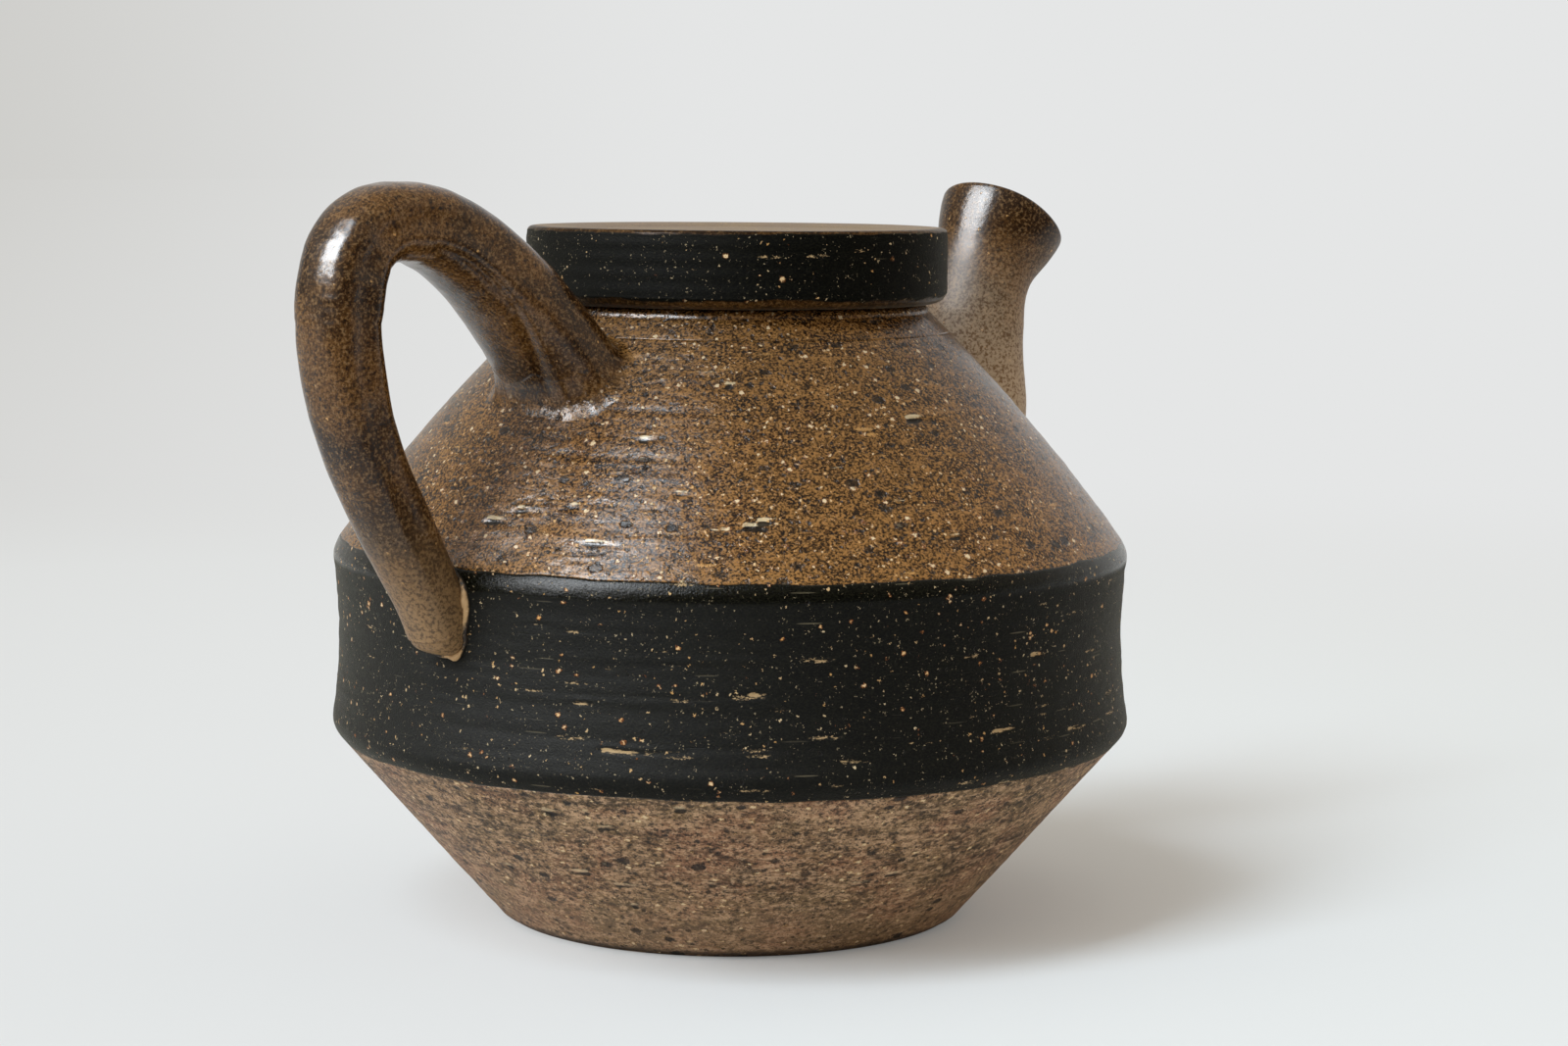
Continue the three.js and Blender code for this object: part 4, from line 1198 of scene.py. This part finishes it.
def strap_points(place, angle):
    """The handle's skin, whose places under TIP_PLACE round the tip off and press it into the wall."""
    place, angle = np.broadcast_arrays(place, angle)
    t = np.clip((TIP_PLACE - place) / TIP_CAP, 0, 1)
    points = handle_limb.points(np.maximum(place, TIP_PLACE), angle)
    centre, along = handle_limb.line(np.full(place.shape, TIP_PLACE))
    centre = np.stack([centre[..., 0], np.zeros(place.shape), centre[..., 1]], axis=-1)
    ahead = np.stack([-along[..., 0], np.zeros(place.shape), -along[..., 1]], axis=-1)
    size = np.sqrt(np.clip(1 - t * t, 0, 1))[..., None]
    sunk = np.array([1.0, 0, 0]) * (TIP_SINK * t ** 2)[..., None]
    moved = centre + (points - centre) * size + ahead * (TIP_LENGTH * t)[..., None] + sunk
    return np.where(t[..., None] > 0, moved, points)


def pulled_handle():
    angle = np.arange(STRAP_COLUMNS) / STRAP_COLUMNS * TURN
    tip = TIP_PLACE - TIP_CAP * np.sin(np.linspace(1, 0, 13)[:-1] * math.pi / 2) * 0.999
    end = place_at_wall(handle_limb, angle, ROOT_PLACE, CLEAR_OF_WALL) + 0.03
    rows = [strap_points(np.full(angle.shape, place), angle) for place in tip]
    share = np.linspace(0, 1, STRAP_ROWS)[:, None]
    rows = np.concatenate([rows, strap_points(TIP_PLACE + share * (end - TIP_PLACE), angle[None, :])])
    return piece("pulled_handle", "pot", "handle", "strap_glaze", [STRAP_GLAZE], rows)


def wall_normal(points):
    """Square to the pot's wall, outward."""
    z = points[..., 2]
    slope = (outer_radius(z + 0.2) - outer_radius(z - 0.2)) / 0.4
    radius = np.hypot(points[..., 0], points[..., 1])
    normal = np.stack([points[..., 0] / radius, points[..., 1] / radius, -slope], axis=-1)
    return normal / np.linalg.norm(normal, axis=-1, keepdims=True)


def beside_loop(loop):
    """At each point of a loop on the pot's wall: square to the wall, and along it away from the loop."""
    normal = wall_normal(loop)
    following = np.roll(loop, -1, axis=0) - np.roll(loop, 1, axis=0)
    outward = np.cross(following, normal)
    outward /= np.linalg.norm(outward, axis=-1, keepdims=True)
    outward *= np.sign(np.sum(outward * (loop - loop.mean(axis=0)), axis=-1, keepdims=True))
    return normal, outward


def onto_wall(points, lift=0.0):
    """Points moved level onto the pot's wall, or that far outside it."""
    radius = np.hypot(points[..., 0], points[..., 1])
    turns = np.arctan2(points[..., 1], points[..., 0]) / TURN
    target = outer_radius(points[..., 2]) + wall_lean(turns, points[..., 2]) + lift
    moved = points.copy()
    moved[..., :2] *= (target / radius)[..., None]
    return moved


def skirt(limb, skin, inside, outside, up, reach, spread, seed):
    """Rows and facts of the clay worked round the place where a limb meets the wall, as a fillet. up is how
    far it climbs the limb, as a share of a stretch, and reach how far it runs out on the wall, in mm. spread
    is how much further it runs on the limb's under side than on its upper side."""
    angle = np.arange(SKIRT_COLUMNS) / SKIRT_COLUMNS * TURN
    foot = place_at_wall(limb, angle, inside, outside)
    direction = math.copysign(1, outside - inside)
    stray = 1 + 0.25 * noise(angle / TURN, 0, 9, seed) + 0.12 * noise(angle / TURN, 0, 31, seed + 1)
    stray = stray * (1 - spread * np.cos(angle))
    top = skin(foot + direction * up * stray, angle)
    knee = skin(foot, angle)
    normal, outward = beside_loop(knee)
    end = onto_wall(knee + outward * (reach * stray)[:, None], -0.12)
    knee = onto_wall(knee, 0.1)
    t = np.linspace(0, 1, SKIRT_ROWS)[:, None, None]
    curve = (1 - t) ** 2 * top + 2 * t * (1 - t) * knee + t * t * end
    lumps = 0.1 * noise(angle / TURN, t[..., 0] * 2, 34, seed + 2) * np.sin(t[..., 0] * math.pi)
    curve = curve + normal * lumps[..., None]
    under = onto_wall(end + outward * 0.5, -0.5)
    back = onto_wall(knee - outward * 2, -1.5)
    inner_top = top - (top - skin(foot + direction * up * stray, angle + math.pi)) * 0.06
    rows, facts = stacked(curve, [under, back, inner_top])
    facts["to_wall"] = np.concatenate([t[..., 0], [[1], [1], [0]]]) * np.ones(SKIRT_COLUMNS)
    return rows, facts


def handle_root_clay():
    rows, facts = skirt(handle_limb, strap_points, ROOT_PLACE, CLEAR_OF_WALL, 0.1, 4.0, 0.4, 71)
    return piece("handle_root_clay", "pot", "handle_upper_joint", "strap_glaze", [ROOT_GLAZE], rows,
                 is_tube=True, facts=facts)


def spout_clay():
    rows, facts = skirt(spout_limb, spout_limb.points, 0, 1, 0.16, 3.6, 0.15, 75)
    return piece("spout_clay", "pot", "spout_joint", "shoulder_glaze", [SPOUT_JOINT_GLAZE], rows,
                 is_tube=True, facts=facts)


def thrown_spout():
    angle = np.arange(SPOUT_COLUMNS) / SPOUT_COLUMNS * TURN
    start = place_at_wall(spout_limb, angle, 0, 1) - 0.03
    share = np.linspace(0, 1, SPOUT_ROWS)[:, None]
    outer_place = start + (RIM_PLACE - start) * share
    outer = spout_limb.points(outer_place, angle[None, :])
    bore = lambda place: -SPOUT_WALL + (SPOUT_WALL - SPOUT_RIM_WALL) * np.maximum(place - 1, 0)
    inner_place = start + 0.06 + (RIM_PLACE - start - 0.06) * share[::-3]
    inner = spout_limb.points(inner_place, angle[None, :], bore(inner_place))
    _, along = spout_limb.line(np.array([float(RIM_PLACE)]))
    ahead = np.array([along[0, 0], 0, along[0, 1]])
    rim_turn = np.linspace(0, math.pi, 12)[1:-1]
    middle, half = (outer[-1] + inner[0]) / 2, (outer[-1] - inner[0]) / 2
    waver = (0.25 * noise(angle / TURN, 0, 7, 67))[:, None]
    rim = [middle + half * math.cos(a) + ahead * math.sin(a) * (0.9 + waver) for a in rim_turn]
    rows = np.concatenate([outer, rim, inner])
    return piece("thrown_spout", "pot", "spout", "strap_glaze", [SPOUT_GLAZE], rows, is_tube=True)


def wall_line_of_foot():
    """Where the strap's lower end meets the band: from the crotch above down the -Y side, round the tip and
    up again."""
    top = float(place_at_wall(handle_limb, np.array([math.pi]), TIP_PLACE, 1.9)[0])
    tip = np.linspace(TIP_PLACE, TIP_PLACE - TIP_CAP * 0.97, 14)
    places = np.concatenate([np.linspace(top, TIP_PLACE + 0.03, 60), tip])
    low = np.zeros(places.shape)
    high = np.full(places.shape, math.pi)
    for _ in range(HALVINGS):
        middle = (low + high) / 2
        is_out = outside_wall(strap_points(places, -middle)) > 0
        low, high = np.where(is_out, middle, low), np.where(is_out, high, middle)
    side = strap_points(places, -low)
    other = side[::-1] * np.array([1, -1, 1])
    loop = np.concatenate([side, other])
    steps = np.linalg.norm(np.roll(loop, -1, axis=0) - loop, axis=1)
    return loop[steps > 1e-3]


def handle_foot_clay():
    """An uneven ridge of clay pressed along the strap's lower end."""
    loop = wall_line_of_foot()
    steps = np.linalg.norm(np.roll(loop, -1, axis=0) - loop, axis=1)
    length = np.concatenate([[0], np.cumsum(steps)])
    even = np.linspace(0, length[-1], RIDGE_COLUMNS, endpoint=False)
    closed = np.concatenate([loop, loop[:1]])
    line = np.stack([np.interp(even, length, closed[:, k]) for k in range(3)], axis=-1)
    for _ in range(6):
        line = (np.roll(line, 1, axis=0) + line * 2 + np.roll(line, -1, axis=0)) / 4
    share = even / length[-1]
    normal, outward = beside_loop(line)
    size = 0.34 + 0.42 * bump_at(share, 0.2, 0.12) + 0.3 * bump_at(share, 0.44, 0.05)
    size = size + 0.2 * noise(share, 0, 37, 81)
    off = 0.1 + 0.8 * bump_at(share, 0.16, 0.08) + 0.3 * bump_at(share, 0.42, 0.05)
    off = off + 0.35 * noise(share, 0, 23, 82)
    middle = onto_wall(line + outward * off[:, None], 0.1)
    around = np.arange(RIDGE_ROWS) / RIDGE_ROWS * TURN
    rise = normal * (size * 1.15)[:, None]
    spread = outward * size[:, None]
    rows = np.stack([middle + rise * math.sin(a) + spread * math.cos(a) for a in around])
    rows = rows + normal * (0.12 * noise(share, around[:, None], 90, 83))[..., None]
    pale_top = 0.75 * bump_at(share, 0.2, 0.1) + 0.9 * bump_at(share, 0.44, 0.07) + 0.15
    raised = np.clip(np.sin(around) + 0.3, 0, 1)[:, None] * pale_top[None, :]
    return piece("handle_foot_clay", "pot", "handle_lower_joint", "bowl_glaze", [FOOT_CLAY], rows,
                 is_tube=True, facts={"raised": raised})


# Floor and light

def backdrop(s, slant):
    """Colour of the backdrop, which pales from one side to the other. slant is 0 in the middle."""
    return s.mix(s.step(slant, -0.3, 0.02), BACKDROP_DULL, BACKDROP_COLOUR)


def seen_as_backdrop(s, behind):
    """1 for rays that show the backdrop: those from the camera or through something clear, and reflections
    that look behind the pot. behind is how far a place or direction lies that way."""
    rays = s.new("LightPath")
    mirrored = s.times(rays.outputs["Is Glossy Ray"], s.step(behind, 0.2, 0.75))
    direct = s.math("MAXIMUM", rays.outputs["Is Camera Ray"], rays.outputs["Is Transmission Ray"])
    return s.math("MAXIMUM", direct, mirrored)


def mixed(s, share, first, second):
    node = s.new("MixShader")
    s.fed(node, (share, first, second))
    return node.outputs[0]


def make_floor():
    """A pale floor. A little way in front, reflections find the dim room instead of it."""
    corners = [(x * FLOOR_REACH, y * FLOOR_REACH, 0) for x, y in ((-1, -1), (1, -1), (1, 1), (-1, 1))]
    mesh = bpy.data.meshes.new("floor")
    mesh.from_pydata(corners, [], [(0, 1, 2, 3)])
    floor = in_scene("floor", mesh)
    material = bpy.data.materials.new("pale_floor")
    s = Nodes(material)
    place = s.new("TexCoord").outputs["Object"]
    distance = s.vector("LENGTH", place)
    # Painted light: even next to the pot the backdrop's glow covers a share of 0.16 of the floor, which
    # lightens the pot's shadow there.
    far = s.step(distance, FLOOR_NEAR, FLOOR_FAR, 0.16, 1.0)
    slant = s.math("DIVIDE", s.vector("DOT_PRODUCT", place, PALE_SIDE), s.add(distance, BACKDROP_DISTANCE))
    cloth = s.new("BsdfDiffuse")
    cloth.inputs["Color"].default_value = FLOOR_COLOUR
    glow = s.new("Emission")
    s.feed(glow.inputs["Color"], backdrop(s, slant))
    # Painted light: on the window side the floor glows with the backdrop's colour, which fades the pot's
    # shadow there.
    aside = s.vector("DOT_PRODUCT", place, PALE_SIDE)
    window_side = s.step(aside, 0.03, -0.05, 0.0, WINDOW_SIDE_GLOW)
    glowing = s.math("MAXIMUM", far, window_side)
    behind = s.vector("DOT_PRODUCT", place, BEHIND)
    shown = mixed(s, s.times(glowing, seen_as_backdrop(s, behind)), cloth.outputs[0], glow.outputs[0])
    dim = s.new("Emission")
    dim.inputs["Strength"].default_value = DIM_STRENGTH
    beyond = s.step(s.vector("DOT_PRODUCT", place, DIM_SIDE), 0.14, 0.4)
    mirrored = s.times(beyond, s.new("LightPath").outputs["Is Glossy Ray"])
    output = s.new("OutputMaterial")
    s.feed(output.inputs["Surface"], mixed(s, mirrored, shown, dim.outputs[0]))
    mesh.materials.append(material)


def make_world():
    """Light by direction, and a plain backdrop."""
    world = bpy.data.worlds.new("room")
    bpy.context.scene.world = world
    s = Nodes(world)
    direction = s.new("TexCoord").outputs["Generated"]
    strength = DIM_STRENGTH
    for turn, rise, low, high, most in ROOM_LIGHT:
        turn, rise = math.radians(turn), math.radians(rise)
        axis = (math.cos(turn) * math.cos(rise), math.sin(turn) * math.cos(rise), math.sin(rise))
        part = s.step(s.vector("DOT_PRODUCT", direction, axis), low, high, 0.0, most)
        strength = s.math("MAXIMUM", part, strength)
    fill = s.new("Background")
    fill.inputs["Color"].default_value = (*FILL_COLOUR, 1)
    s.feed(fill.inputs["Strength"], strength)
    shown = s.new("Background")
    s.feed(shown.inputs["Color"], backdrop(s, s.vector("DOT_PRODUCT", direction, PALE_SIDE)))
    output = s.new("OutputWorld")
    behind = s.vector("DOT_PRODUCT", direction, BEHIND)
    surface = mixed(s, seen_as_backdrop(s, behind), fill.outputs[0], shown.outputs[0])
    s.feed(output.inputs["Surface"], surface)


def make_lamp(name, place, target, width, height, power, colour):
    """A soft box at a place, in metres, that faces a target."""
    data = bpy.data.lights.new(name, "AREA")
    data.shape = "RECTANGLE"
    data.size, data.size_y = width, height
    data.energy = power
    data.color = colour
    lamp = in_scene(name, data)
    lamp.location = place
    lamp.rotation_mode = "QUATERNION"
    lamp.rotation_quaternion = (Vector(target) - Vector(place)).to_track_quat("-Z", "Y")
    return lamp


# Metres: half the floor's side, and how far from the pot it starts and ends to melt into the backdrop
FLOOR_REACH = 14
FLOOR_NEAR = 0.25
FLOOR_FAR = 0.95
BACKDROP_DISTANCE = 1.5     # the further off it is, the less the floor's colour turns with direction
FLOOR_COLOUR = srgb(233, 235, 236)
BACKDROP_COLOUR = srgb(229, 230, 230)
BACKDROP_DULL = srgb(202, 201, 197)
PALE_SIDE = (0.669, -0.743, 0)
DIM_SIDE = (-0.54, -0.84, 0)
BEHIND = (0.743, 0.669, 0)
# Share of painted light on the floor's window side, where the backdrop's glow fades the pot's shadow
WINDOW_SIDE_GLOW = 0.6
FILL_COLOUR = (1.0, 0.905, 0.77)
DIM_STRENGTH = 0.06
# The room's light: degrees round and up of each bright part, cosines at which it starts and is full, strength
ROOM_LIGHT = (
    (165, 30, 0.35, 0.85, 0.7),
    (-10, 8, 0.1, 0.8, 0.7),
    (0, 90, 0.1, 0.7, 0.56),
)

make_camera()
make_floor()
make_world()
make_lamp("window", (-2.165, 0.1, 2.58), (0, 0, 0.06), 1.2, 2.2, 86, (0.84, 0.98, 1.1))
# Seen in the glaze only: the photograph's window shows there more strongly than it lights the pot
bright_pane = make_lamp("bright_pane", (-2.55, 0.75, 2.0), (0, 0, 0.1), 2.4, 1.9, 430, (0.97, 1.0, 1.03))
bright_pane.visible_diffuse = False

thrown_bowl()
slip_band()
glazed_shoulder()
mouth_ring()
pulled_handle()
handle_root_clay()
handle_foot_clay()
thrown_spout()
spout_clay()
lid_top()
lid_flange_ring()

bpy.context.scene.view_settings.view_transform = "Standard"
